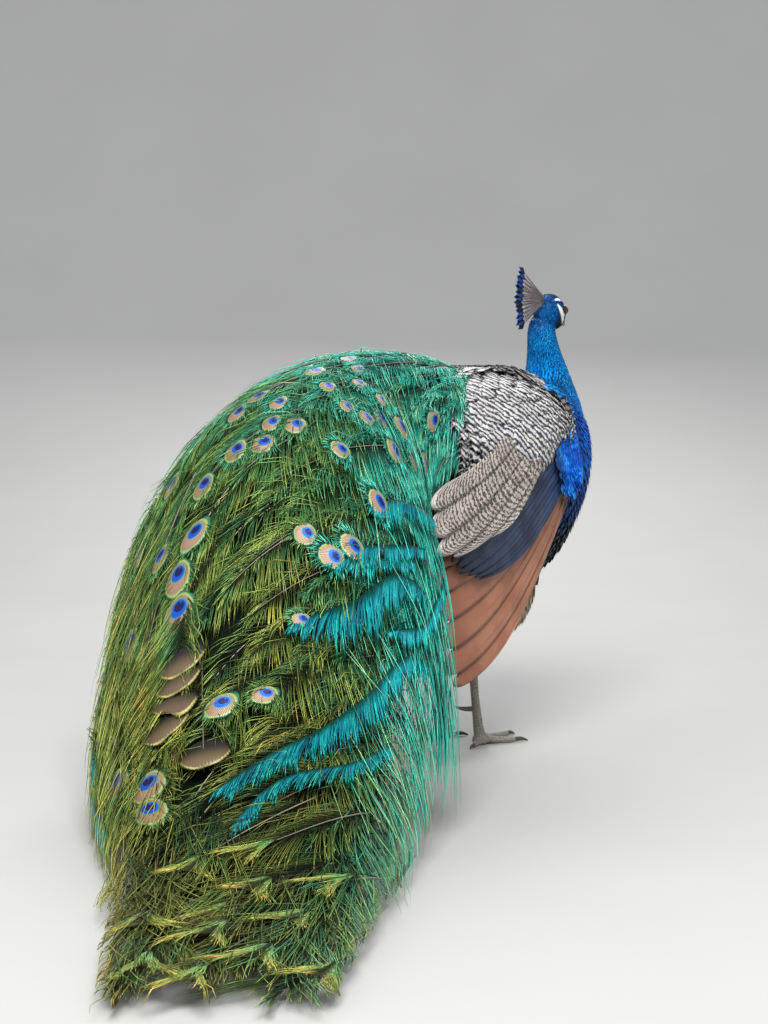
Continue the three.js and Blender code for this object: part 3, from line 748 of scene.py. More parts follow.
def paintPlumage():
    paint = Paint("bodyFeathers", Roughness=0.38, Specular_IOR_Level=0.2)
    _, along, chance = paint.split(paint.own("vane"))
    ahead, up, _ = paint.split(paint.own("tint"))
    colour, z = bodyColour(paint, ahead, up)
    dark = paint.layers(colour, (along, 0.5, 0.0, "04182e", 0.7))
    edged = paint.between(z, *bands["edged"]) * 0.22
    tone = paint.layers(dark, (along, 0.75, 1.0, "2fb6c4", edged), (chance, 0.5, 1.0, "03306e", 0.45))
    paint.bump(paint.node("ShaderNodeTexWave", {"wave_type": "BANDS", "bands_direction": "X"},
                          {"Vector": paint.own("vane"), "Scale": 3.2, "Distortion": 1.5}), 0.0002)
    keep = paint.between(z, *bands["glossy"])
    return paint.wear(Base_Color=paint.mix(keep, dark, tone), Metallic=keep * 0.65)


roots, normals, apart, chance = scatterOn(skin.data, bodySpacing, feathered, 11)
foremost = ease((roots[:, 0] - 260) / 10) * ease((420 - roots[:, 2]) / 20)   # the breast's blunt front faces ahead
normals = unit(normals + foremost[:, None] * [2.0, 0, 0.2])
ways = flatTo(lieOf(roots) + chance.normal(0, 0.05, roots.shape), normals)
length = apart * plumage["lengthToSpacing"] * chance.uniform(0.9, 1.12, len(roots))
coat = Coat("bodyFeathers", paintPlumage(), "breast")
small = {"length": length, "width": apart * plumage["widthToSpacing"] * chance.uniform(0.9, 1.1, len(roots)),
         "lift": np.maximum(length * 0.1, hollowLift(roots, ways, length)), "cup": length * 0.05,
         "bow": length * 0.1 / 260, "blunt": 0.15, "thick": 0.16}
local = fromHead(roots)
places, tints = bodyUnwrap(roots), stacked(local[:, 0], local[:, 2], chance.random(len(roots)))
for leaf, part in ((leafSmall, roots[:, 2] > 480), (leafMid, roots[:, 2] <= 480)):
    size = {key: value[part] if isinstance(value, np.ndarray) else value for key, value in small.items()}
    coat.add(leaf, bladePoints(leaf, (roots - normals * 0.4)[part], ways[part], normals[part], **size), places[part],
             0.003, tints[part])
coat.finish()
print("body feathers:", len(roots))


# ---- wings
wing = {
    "width": 104, "crownStart": 330, "crownFall": 60, "crownReach": 140, "frontStart": 150, "frontFall": 26,
    "frontReach": 90, "flare": 10, "flareReach": 220,
    "lowerEdge": [[112, 372], [96, 362], [70, 356], [40, 334], [-10, 316], [-60, 326], [-104, 350]],
    "upperEdge": [[124, 402], [118, 430], [88, 450], [40, 464], [-10, 468], [-55, 462], [-104, 442]],
    "swell": 32, "padThickness": 9, "rowGap": 19.2, "featherGap": 12.5, "featherLength": 46, "featherWidth": 25,
    "padLength": 300, "padHeight": 128, "mantleGap": 7.2, "mantleLength": 24,
    "patch": {"ahead": (50, 120), "up": (318, 396), "gap": 5.0, "length": 20},
}
fans = {
    "primaries": {"roots": [[104, 300], [92, 312], [70, 326], [46, 338]],
                  "tips": [[-176, 101], [-202, 128], [-214, 178], [-208, 226], [-200, 252]],
                  "feathers": 6, "lift": 0.5, "bow": (52, 4), "quill": 1.1},
    "secondaries": {"roots": [[122, 352], [96, 366], [52, 378], [12, 388]],
                    "tips": [[-124, 223], [-160, 230], [-188, 248], [-204, 272]],
                    "feathers": 8, "lift": 8.6, "bow": (36, 6), "quill": 0.9},
    "tertials": {"roots": [[16, 346], [4, 376], [-18, 404]],
                 "tips": [[-120, 272], [-178, 256], [-228, 262], [-249, 300], [-230, 334]],
                 "feathers": 5, "lift": 16.8, "bow": (22, 10), "quill": 0.6},
}


def wingFace(x, z):
    crown = np.maximum(0, (z - wing["crownStart"]) / wing["crownReach"])
    front = np.maximum(0, (x - wing["frontStart"]) / wing["frontReach"])
    low = np.maximum(0, (wing["crownStart"] - z) / wing["flareReach"])
    return wing["width"] - wing["crownFall"] * crown ** 2 - wing["frontFall"] * front ** 2 + wing["flare"] * low


def sided(points, side):
    return points * np.array([1.0, side, 1.0])


def turnedOver(shape, side):
    return shape if side < 0 else shape | {"faces": [faces[:, ::-1] for faces in shape["faces"]]}


# The side of the bird at u down and v back over the shoulder pad; y is the distance from the middle.
def padPoint(u, v, sink):
    low, high = spline(wing["lowerEdge"], v), spline(wing["upperEdge"], v)
    over = np.minimum(u, 0) * 22
    inU, inV = np.clip(u, 0, 1), np.clip(v, 0, 1)
    x, z = np.moveaxis(high + (low - high) * inU[..., None], -1, 0)
    swell = np.sin(np.pi * (inU * 0.89 + 0.06)) * np.sin(np.pi * (0.06 + inV * 0.86))
    crown, front = 1 - ease(inU / 0.2), 1 - ease(inV / 0.14)
    y = wingFace(x, z) - 6 - 10 * crown - 8 * front + wing["swell"] * np.maximum(0, swell) ** 0.6 + over - sink
    z = z - 6 * crown
    beyond = np.minimum(v, 0) * 60 + np.maximum(v - 1, 0) * 300
    return stacked(x - beyond, y, z - np.maximum(u - 1, 0) * 100)


def fanPoint(fan, u, v, out):
    roots, tips = spline(fan["roots"], v), spline(fan["tips"], v)
    sag = np.sin(u * np.pi) * blend(*fan["bow"], v)
    x, z = np.moveaxis(blend(roots, tips, u[..., None]), -1, 0)
    x, z = x - sag * 0.25, z - sag
    return stacked(x, wingFace(x, z) + fan["lift"] + out, z)


def paintVane(name, light, dark, tip, shaft, bars=0.0, glossAndPaintedSheen=0.0, ragged=2.0, flow=0.0):
    paint = Paint(name, Roughness=0.5)
    at = paint.place()
    across, along, chance = paint.split(paint.own("vane"))
    reach, code, _ = paint.split(paint.own("tint"))
    off = paint.sum("ABSOLUTE", across)
    fine = paint.noise(at, 300.0, 2.0)
    colour = paint.layers(light, (paint.noise(at, 30.0), 0.3, 0.7, dark))
    barbs = paint.sum("SINE", (along * reach - off * 14.0) * 3.6 + fine * 5.0)
    if bars:
        wavering = (paint.noise(at, 55.0, 2.0) - 0.5) * 4.2 + (fine - 0.5) * ragged
        place = along * reach * (6.283 / bars) + wavering + off * 1.1
        if flow:   # bars that run on from feather to feather
            ahead, _, up = paint.split(at)
            place = (ahead * 0.6 + up * 0.8) * (-6283.0 / bars) + wavering * flow
        wavy = paint.sum("SINE", place + chance * (2.9 if flow else 1.3))
        colour = paint.layers(colour, (wavy, -0.25, 0.45, tip), (along, 0.93, 1.0, light, 0.8))
    else:
        # painted blue sheen, stronger towards the front of the wing and scaled with the gloss
        colour = paint.layers(colour, (paint.inBird()[0], 10.0, 110.0, "2a62b0", glossAndPaintedSheen * 1.6),
                              (along, 0.55, 1.0, tip, 0.7))
    isShaft = paint.between(code, 0.5, 0.6)
    colour = paint.mix(isShaft, paint.mix(barbs * 0.14 + 0.14, colour, "0b0d10"), shaft)
    paint.bump(barbs * 0.5 + fine * 0.6, 0.0004)
    return paint.wear(Base_Color=colour, Metallic=glossAndPaintedSheen * (1 - isShaft))


wingPaints = {
    "primaries": paintVane("rufousVanes", "b3775a", "9d6246", "844d35", "86706a"),
    "secondaries": paintVane("slateVanes", "42516e", "25334c", "161f30", "1c2536", glossAndPaintedSheen=0.3),
    "tertials": paintVane("barredVanes", "d2c9be", "b2a79b", "48423f", "857a70", bars=7.6, ragged=11.0),
    "coverts": paintVane("barredCoverts", "dcd7d1", "c3bdb6", "333b4e", "b9b2a8", bars=7.2, flow=2.6),
    "mantle": paintVane("barredMantle", "d6d1ca", "beb8b0", "394152", "a9a298", bars=6.8, flow=3.0),
}
barredSlot = {"primaries": "rufous", "secondaries": "dark_wing", "tertials": "barred"}


def flightFeathers(name, seed):
    fan, chance = fans[name], np.random.default_rng(seed)
    coat = Coat(name, wingPaints[name], barredSlot[name])
    count = fan["feathers"]
    order = np.arange(count)[:, None]
    x, y, z = leafBroad["at"].T[:, None]
    for side in (-1, 1):
        jitter = chance.uniform(-0.03, 0.03, (count, 1))
        short = chance.uniform(0.0, 0.05, (count, 1))
        wide = (0.78 - 0.18 * y) * (1 - 0.35 * np.clip((0.12 - y) / 0.12, 0, 1))
        v = np.clip((order + 0.5 + jitter + wide * x) / count, 0.0, 1.0)
        u = y * (1 - 0.16 * np.abs(x + 0.15) ** 2.6 * y ** 5 - short)
        ripple = 0.35 * np.sin(y * 9 + order * 2.1) * x
        out = 2.2 - 1.7 * x * (0.4 + 0.6 * y) + ripple + z * 0.45
        points = sided(fanPoint(fan, u, v, out), side)
        root = stacked(0.1 + 0.8 * (order[:, 0] + 0.5) / count, 0.5 + 0.25 * side)
        length = norm(points[:, y.argmax()] - points[:, y.argmin()])
        coat.add(turnedOver(leafBroad, side), points, root, 0.09, stacked(length, 0, chance.random(count)))
        stops = shaftStrand["stops"]
        path = sided(fanPoint(fan, 0.02 + 0.93 * stops * (1 - short), (order + 0.24 + jitter) / count, 3.0), side)
        normal = np.broadcast_to([0.0, side, 0.0], path.shape)
        coat.add(shaftStrand, strandPoints(shaftStrand, path, normal, fan["quill"] * (1 - 0.8 * stops)), root, 0.01,
                 stacked(length, 1, chance.random(count)))
    coat.finish(f"{name}_right", f"{name}_left")


for index, name in enumerate(fans):
    flightFeathers(name, 21 + index)


def shoulderFeathers():
    chance = np.random.default_rng(31)
    coat = Coat("shoulderCoverts", wingPaints["coverts"], "barred")
    pad = bladeShape(20, 12)
    x, y, z = pad["at"].T
    padLength, padHeight, near = wing["padLength"], wing["padHeight"], 0.01
    for side in (-1, 1):
        def onPad(a, b, sink=0.0):
            return sided(padPoint(a, b, sink), side)

        shell = onPad((x + 1) / 2, y, 3.0 + (1 - z) * wing["padThickness"] / 2)
        coat.add(turnedOver(pad, side), shell[None], np.array([[0.5, 0.5 + 0.25 * side]]), 0.3, [[300.0, 0, 0.5]])
        v = np.arange(0.0, 0.985, wing["rowGap"] / padLength)
        u = np.arange(-0.12, 1.06, wing["featherGap"] / padHeight)
        v, u = np.meshgrid(v, u, indexing="ij")
        u = u + 0.5 * (u[0, 1] - u[0, 0]) * (np.arange(len(v))[:, None] % 2)
        v = (v + chance.normal(0, 0.0035, v.shape)).ravel()
        u = (u + chance.normal(0, 0.008, u.shape)).ravel()
        grow = blend(0.72, 1.25, ease(v)) * chance.uniform(0.92, 1.1, len(v))
        length = wing["featherLength"] * grow
        slope = 0.28 + 0.3 * u + chance.normal(0, 0.04, len(u))
        runU, runV = slope * length / padHeight / np.hypot(1, slope), length / padLength / np.hypot(1, slope)
        # each feather spans the pad from its root to its tip, bowed over what lies between
        root, tip, midU, midV = onPad(u, v), onPad(u + runU, v + runV), u + runU / 2, v + runV / 2
        way = unit(tip - root)
        normal = side * unit(np.cross(onPad(midU, midV + near) - onPad(midU, midV - near),
                                      onPad(midU + near, midV) - onPad(midU - near, midV)))
        normal = flatTo(np.where(normal[:, 1:2] * side < 0, -normal, normal), way)
        sag = np.clip(((onPad(midU, midV) - (root + tip) / 2) * normal).sum(-1), -1, 7)
        places = stacked(np.clip(v, 0, 1), (np.clip(u, 0, 1) * 0.9 + 0.05 + (side > 0)) / 2)
        sunk = 1.5 + 3.5 * (1 - ease(v / 0.08))
        feathers = bladePoints(leafFine, root - normal * sunk[:, None], way, normal, length,
                               wing["featherWidth"] * grow, 2.2 + 4 * sag, 0.03 * length, 4 * sag / length)
        coat.add(leafFine, feathers, places, 0.012, stacked(length, 0, chance.random(len(length))))
    coat.finish("coverts_right", "coverts_left")


shoulderFeathers()


# Blue lesser coverts at the bend of the wing.
def bendFeathers():
    paint = Paint("bendOfWing", Roughness=0.5, Metallic=0.45, Specular_IOR_Level=0.2)
    _, along, chance = paint.split(paint.own("vane"))
    patch = paint.noise(paint.place(), 40.0, 2.0)
    colour = paint.ramp(patch, {0.38: "0a4cb0", 0.5: "0a72e6", 0.62: "2fa4fa"})
    colour = paint.layers(colour, (along, 0.5, 0.0, "061226", 0.8), (paint.inBird()[0], 80.0, 52.0, "1c3a66"))
    material = paint.wear(Base_Color=paint.mix(chance * 0.3, colour, "0a2f72"))
    area = wing["patch"]
    chance = np.random.default_rng(33)
    x, z = np.meshgrid(np.arange(*area["ahead"], area["gap"]), np.arange(*area["up"], area["gap"] * 0.9))
    x, z = (x + chance.normal(0, 0.9, x.shape)).ravel(), (z + chance.normal(0, 0.9, z.shape)).ravel()
    middle = blend(*area["ahead"], 0.5) + (z - area["up"][0]) * 0.12
    near = np.abs(x - middle - 8) < 36 - 22 * ease((356 - z) / 40) + chance.normal(0, 4, len(x))
    x, z = x[near], z[near]
    coat = Coat("bendCoverts", material, "dark_wing")
    for side in (-1, 1):
        out = wingFace(x, z) + 14.5 + 3.0 * np.sin(np.pi * np.clip((z - 300) / 110, 0, 1))
        root = sided(stacked(x, out, z), side)
        normal = np.broadcast_to(unit(np.array([0.12, side, 0.1])), root.shape)
        way = flatTo([-0.55, 0, -1] + chance.normal(0, 0.06, root.shape), normal)
        length = area["length"] * chance.uniform(0.85, 1.2, len(x))
        feathers = bladePoints(leafSmall, root, way, normal, length, length * 0.6, 2.5, 0.06 * length, 0.004 * length)
        coat.add(leafSmall, feathers, stacked(x / 200, (z - 280) / 300 + 0.5 * (side > 0)), 0.01,
                 stacked(length, 0, chance.random(len(x))))
    coat.finish()


bendFeathers()


# Barred feathers of the upper back, between the shoulders.
def mantleFeathers():
    def onBack(at):
        return ((at[..., 2] > 372) & (at[..., 0] < mantleEdge(at)) & (at[..., 0] > -75)).astype(float)

    root, normal, _, chance = scatterOn(skin.data, lambda at: wing["mantleGap"] + 0 * at[..., 0], onBack, 41)
    inside = ease((mantleEdge(root) - root[:, 0]) / 40)
    way = flatTo([-1.0, 0.0, -0.1] + chance.normal(0, 0.06, root.shape), normal)
    valley = ease((np.abs(root[:, 1]) - 16) / 22) * ease((130 - root[:, 0]) / 30)   # up to the shoulder's rim
    root = root + normal * (7 * valley)[:, None]
    length = wing["mantleLength"] * chance.uniform(0.85, 1.15, len(root))
    coat = Coat("mantleFeathers", wingPaints["mantle"], "barred")
    feathers = bladePoints(leafFine, root, way, normal, length, length * 0.66, 0.6 + inside * (4.4 + 0.1 * length),
                           0.06 * length, 0.004 * length)
    coat.add(leafFine, feathers, bodyUnwrap(root), 0.008, stacked(length, 0, chance.random(len(root))))
    coat.finish()


mantleFeathers()


# ---- train
train = {
    "stations": [[-12, 0, 467, 44, 20, 0], [-110, 8, 484, 102, 96, 0], [-215, 26, 476, 130, 150, 1],
                 [-325, 10, 434, 194, 252, 6], [-428, -46, 340, 195, 275, 14], [-520, -104, 222, 172, 190, 21],
                 [-610, -170, 120, 146, 96, 27], [-705, -238, 54, 122, 34, 31], [-800, -300, 28, 104, 14, 33],
                 [-890, -354, 20, 92, 9, 34], [-975, -404, 13, 78, 6, 34]],
    "spread": 12, "tipGap": (26, 42), "span": (125, 185), "lean": 44, "layer": 0.05,
    "barbGap": 1.8, "barbLength": (20, 62), "barbAngle": (22, 48), "barbWidth": 0.7, "clump": 8.0,
    "quill": (1.1, 0.45), "underDepth": 13.0, "tipTries": 12000, "looseStrands": 1300, "bunches": (54, 8),
    "strandLength": (55, 125), "bunchLength": (70, 170), "forkReach": 34, "forkGap": 0.75,
    "webLayers": ((0.75, 1.0), (1.0, 0.7)), "fringe": 46, "hollow": {"middle": (0.605, 0.3), "half": (0.035, 0.14)},
    # the eyed feathers that lie on top: t, v, size
    "eyes": [[0.311, 0.173, 30], [0.295, 0.114, 26], [0.308, 0.01, 26], [0.332, 0.016, 28], [0.332, -0.075, 30],
             [0.358, 0.134, 34], [0.347, 0.42, 33], [0.379, 0.251, 36], [0.284, -0.251, 24], [0.279, -0.342, 26],
             [0.237, -0.538, 34], [0.166, -0.727, 28], [0.282, -0.485, 34], [0.213, -0.792, 30],
             [0.339, -0.251, 28], [0.429, -0.147, 30], [0.479, 0.323, 52], [0.568, 0.153, 36],
             [0.561, -0.023, 28], [0.621, 0.525, 46], [0.652, 0.531, 44], [0.2, -0.12, 22], [0.215, -0.22, 22],
             [0.24, -0.27, 22], [0.235, -0.4, 22], [0.27, -0.15, 24], [0.42, 0.27, 42], [0.415, 0.42, 34],
             [0.448, 0.33, 46]],
    # eyes stacked like roof tiles, with only their lower rims in view
    "tiles": [[0.521, 0.303], [0.534, 0.329], [0.55, 0.355], [0.567, 0.405], [0.605, 0.235]], "tileSize": 54,
    # one-sided feathers: their line, the width of the web, and the eye at the tip
    "swords": [[[(0.263, -0.80), (0.332, -0.505), (0.371, -0.375)], 26, 36],
               [[(0.33, -0.66), (0.397, -0.414), (0.426, -0.283)], 24, 34],
               [[(0.36, -0.60), (0.421, -0.362), (0.442, -0.205)], 22, 34],
               [[(0.37, -0.66), (0.40, -0.50), (0.461, -0.342), (0.503, -0.121)], 44, 22],
               [[(0.27, -0.90), (0.345, -0.74), (0.41, -0.63), (0.455, -0.50)], 20, 0],
               [[(0.42, -0.72), (0.453, -0.59), (0.529, -0.446), (0.582, -0.257), (0.612, -0.062), (0.65, 0.19)],
                36, 0],
               [[(0.55, -0.60), (0.603, -0.407), (0.642, -0.068), (0.70, 0.15)], 26, 0],
               [[(0.33, 0.98), (0.42, 0.93), (0.52, 0.86)], 26, 0], [[(0.42, 1.0), (0.52, 0.96), (0.62, 0.9)], 28, 0]],
    # forked tips near the end: t, v, half width
    "forks": [[0.945, -0.18, 42], [0.90, 0.12, 40], [0.86, -0.28, 38], [0.845, 0.16, 36], [0.80, 0.0, 36],
              [0.955, 0.5, 40], [0.87, 0.6, 38], [0.985, 0.15, 42], [0.76, 0.32, 36], [0.78, -0.42, 34],
              [0.97, -0.75, 36], [0.735, 0.02, 32]],
}


# The train's surface: t along its ridge, v from -1 at the right edge over the ridge to 1 at the left edge.
def trainSurface(t, v):
    t, v = np.broadcast_arrays(np.asarray(t, float), np.asarray(v, float))
    x, y, z, half, drop, turn = np.moveaxis(spline(train["stations"], t), -1, 0)
    inner = np.clip(v, -1, 1)
    beyond = (np.abs(v) - np.abs(inner)) * 1.57 * np.maximum(half, drop)
    angle = inner * np.pi / 2
    out = half * np.sin(angle)
    fall = drop * (1 - np.cos(angle))
    landed = ease((70 - z) / 40)
    out = out + np.sign(v) * train["spread"] * np.tanh(beyond / train["spread"]) * landed
    fall = fall + beyond * (1 - landed)
    bend = np.radians(turn)
    before, last = np.array(train["stations"], float)[-2:, :3]
    past = np.clip(t - 1, 0, 0.022)[..., None] * (last - before) * [10, 10, 5]
    return stacked(x - out * np.sin(bend), y + out * np.cos(bend), z - fall) + past


# The ways along and across, and millimetres for each unit of t and v.
def trainWays(t, v):
    e = 0.006
    along = trainSurface(t + e, v) - trainSurface(np.maximum(t - e, 0), v)
    across = trainSurface(t, v + e) - trainSurface(t, v - e)
    pace = [np.maximum(norm(way) / (2 * e), least) for way, least in ((along, 500), (across, 90))]
    return unit(along), unit(across), stacked(*pace)


# Places moved by millimetres along and across.
def movedBy(t, v, shift):
    return np.moveaxis(stacked(t, v) + shift / trainWays(t, v)[2], -1, 0)


def downhill(t, v):
    along, across, _ = trainWays(t, v)
    return stacked(-along[..., 2], -across[..., 2])


# 1 where the ground falls to the left of a way, -1 where it falls to its right
def lowSide(t, v, way):
    down = downhill(t, v)
    return np.where(way[:, 0] * down[:, 1] - way[:, 1] * down[:, 0] > 0, 1.0, -1.0)


def onTrain(t, v, high):
    along, across, _ = trainWays(t, v)
    normal = unit(np.cross(across, along))
    point = trainSurface(t, v) + normal * high[..., None]
    point[..., 2] = np.maximum(point[..., 2], 1.2)
    return point, normal


def trainUnwrap(t, v):
    return stacked(np.clip(t, 0, 1.05) / 1.05 * 0.94 + 0.03, np.clip(v / 2 + 0.5, 0, 1) * 0.94 + 0.03)


# Feathers sweep to the bird's left as they run down.
def leanAt(t, v):
    share = ease((t - 0.1) / 0.25) * (1 - 0.6 * ease((t - 0.7) / 0.25))
    return np.radians(train["lean"]) * share * (1 - 0.8 * ease(v / 0.6)) * (1 - 0.6 * ease((-v - 0.7) / 0.3))


# 0 is emerald, then jade, green, olive and gold at 1.
def hueAt(t, v):
    warm = 0.68 * ease((t - 0.12) / 0.4 + 0.25 * v) + 0.24 * ease((t - 0.52) / 0.3)
    return warm - (0.5 * ease((t - 0.2) / 0.2)) * ease((-v - 0.05) / 0.5)


plumeStops = 12


# A shaft's line from its tip back: places (feathers, stops, 2) from root to tip.
def backFrom(t, v, span, straight):
    places = [(t, v)]
    step = span[:, None] / (plumeStops - 1)
    for _ in range(plumeStops - 1):
        lean = leanAt(*places[-1]) * (1 - straight)
        places.append(movedBy(*places[-1], -step * stacked(np.cos(lean), np.sin(lean))))
    return np.moveaxis(places[::-1], (0, 1), (1, 2))


# Tips as far apart as they should be from one another and from those already taken.
def scatterTips(chance, taken):
    count = train["tipTries"]
    t, v = chance.uniform(0.06, 1.0, count), chance.uniform(-1, 1, count)
    v = v * (1 - 0.2 * ease((t - 0.55) / 0.15)) * (1 - 0.2 * (v < 0) * ease((t - 0.36) / 0.1))
    points = trainSurface(t, v)
    gap = blend(*train["tipGap"], ease((t - 0.1) / 0.5))
    held = trainSurface(*taken.T)
    kept = []
    for i in range(count):
        if norm(points[i] - held).min() > gap[i] * 0.8 and \
                (norm(points[i] - points[kept]) > gap[i]).all():
            kept.append(i)
    t, v = t[kept], v[kept]
    there = ~((v < -0.58) & (t > 0.37) & (chance.random(len(t)) < 0.6))
    return t[there], v[there]


# Every feather of the train, as one table of arrays.
def layPlumes():
    chance = np.random.default_rng(51)
    eyes, forks = np.array(train["eyes"], float), np.array(train["forks"], float)
    tiles = np.array([[t, v, train["tileSize"]] for t, v in train["tiles"]])
    given = np.concatenate([eyes[:, :2], tiles[:, :2], forks[:, :2]])
    t, v = scatterTips(chance, np.concatenate([given, [row[0][-1] for row in train["swords"]]]))
    loose = len(t)
    eyed = (chance.random(loose) < np.where((v < 0.5) & (v > -0.95), 0.1, 0.5)) & (t > 0.2) & (t < 0.6)
    size = np.where(eyed, blend(24, 44, ease((t - 0.1) / 0.4)) * chance.uniform(0.85, 1.1, loose), 0.0)
    size = np.concatenate([size, eyes[:, 2], tiles[:, 2], 0 * forks[:, 0]])
    t, v = np.concatenate([np.stack([t, v], -1), given]).T
    count = len(t)
    span = chance.uniform(*train["span"], count) * blend(0.5, 1.0, ease(t / 0.3))
    tile, fork, web = np.zeros((3, count))
    tile[loose + len(eyes):count - len(forks)] = 1
    fork[-len(forks):] = forks[:, 2]
    lean = leanAt(t, v) * (1 - tile)
    ahead = movedBy(t, v, (size * 0.6)[:, None] * stacked(np.cos(lean), np.sin(lean)))
    lines = backFrom(*ahead, span, tile)
    lift = np.concatenate([chance.uniform(-3.0, 3.0, loose), chance.uniform(2.5, 5.0, len(eyes)),
                           10.0 - 1.6 * np.arange(len(tiles)), chance.uniform(9, 14, len(forks))])
    for line, width, eye in train["swords"]:
        path = spline(line, np.linspace(0, 1, plumeStops))
        lines = np.concatenate([lines, path[None]])
        whole = norm(np.diff(trainSurface(*path.T), axis=0)).sum()
        span, size, web, fork, lift, tile = (np.append(a, b) for a, b in (
            (span, whole), (size, eye), (web, width), (fork, 0), (lift, 7.0), (tile, 0)))
    luck = chance.random(len(lines))
    hue = hueAt(lines[:, -3, 0], lines[:, -3, 1]) + chance.normal(0, 0.09, len(lines))
    return {"lines": lines, "span": span, "size": size, "web": web, "fork": fork, "lift": lift, "tile": tile,
            "luck": luck, "hue": hue}


plumes = layPlumes()
print("train feathers:", len(plumes["span"]), "eyes:", int((plumes["size"] > 0).sum()))


# The place on feather f at a distance behind its tip, and the shaft's way there in millimetres.
def onShaft(f, back):
    at = np.clip(1 - back / plumes["span"][f], 0, 1) * (plumeStops - 1)
    i = np.minimum(at.astype(int), plumeStops - 2)
    low, high = plumes["lines"][f, i], plumes["lines"][f, i + 1]
    t, v = blend(low, high, (at - i)[..., None]).T
    return t, v, unit((high - low) * trainWays(t, v)[2])


# Strands from places on the train: they set off along start, turn downhill and gather with their neighbours.
def layStrands(shape, t, v, start, length, hang, curl, lift, rise, gather=None):
    stops = shape["stops"]
    middle = ((stops[1:] + stops[:-1]) / 2)[:, None]
    side = stacked(-start[:, 1], start[:, 0])
    bend = downhill(t, v) * np.atleast_1d(hang)[:, None] * 2 + side * curl[:, None]
    steps = unit(start[:, None] + bend[:, None] * middle) * (np.diff(stops) * length[:, None])[..., None]
    run = np.concatenate([np.zeros((len(t), 1, 2)), np.cumsum(steps, 1)], 1)
    if gather is not None:
        run = run + gather[:, None] * (stops ** 2)[:, None]
    high = lift[:, None] + (rise * length)[:, None] * (stops - 0.55 * stops ** 2)
    run = run / trainWays(t, v)[2][:, None]
    return *onTrain(t[:, None] + run[..., 0], v[:, None] + run[..., 1], high), trainUnwrap(t, v)


def turned(way, side, angle):
    across = stacked(-way[:, 1], way[:, 0]) * side[:, None]
    return way * np.cos(angle)[:, None] + across * np.sin(angle)[:, None]


def paintBarbs():
    paint = Paint("trainBarbs", Roughness=0.42)
    _, along, chance = paint.split(paint.own("vane"))
    hue, kind, _ = paint.split(paint.own("tint"))
    emerald = paint.ramp(chance, {0.0: "064a46", 0.3: "109886", 0.65: "2cc4b0", 1.0: "8ee4c4"})
    jade = paint.ramp(chance, {0.0: "17503c", 0.35: "358a65", 0.7: "5bb07f", 1.0: "a2d69b"})
    green = paint.ramp(chance, {0.0: "14402a", 0.35: "3a7c46", 0.7: "6fa357", 1.0: "b4c766"})
    olive = paint.ramp(chance, {0.0: "26351a", 0.35: "5c7631", 0.7: "95a148", 0.9: "cbc55e", 1.0: "8a5236"})
    gold = paint.ramp(chance, {0.0: "2f2a15", 0.35: "6b6c2c", 0.65: "a39a3e", 0.85: "cf9f3f", 1.0: "8c4f2c"})
    hue = hue + (paint.noise(paint.place(), 9.0, 2.0) - 0.5) * 0.35
    colour = paint.layers(emerald, (hue, 0.06, 0.24, jade), (hue, 0.28, 0.46, green), (hue, 0.5, 0.72, olive),
                          (hue, 0.78, 0.98, gold), (along, 0.6, 0.0, "08150f", 0.9), (along, 0.65, 1.0, "c4cc6c", 0.4))
    teal = paint.ramp(chance, {0.0: "00424f", 0.35: "00798a", 0.75: "04a8a6", 1.0: "3fc79a"})
    teal = paint.layers(teal, (along, 0.3, 0.0, "0a4a3c"), (along, 0.6, 1.0, "2f9c6c", 0.6))
    isShaft = paint.between(kind, 1.4, 1.6)
    colour = paint.mix(isShaft, paint.layers(colour, (kind, 0.2, 0.8, teal)), paint.mix(chance, "a89c8b", "6b6053"))
    return paint.wear(Base_Color=colour, Metallic=0.6 * (1 - isShaft))


barbLong = strandShape([0.0, 0.15, 0.3, 0.45, 0.6, 0.8])
tapers = {"fine": np.array([1.0, 0.95, 0.7, 0.0]), "web": np.array([1.0, 1.0, 0.85, 0.0]),
          "long": np.array([1.0, 1.0, 0.95, 0.85, 0.7, 0.5, 0.0])}


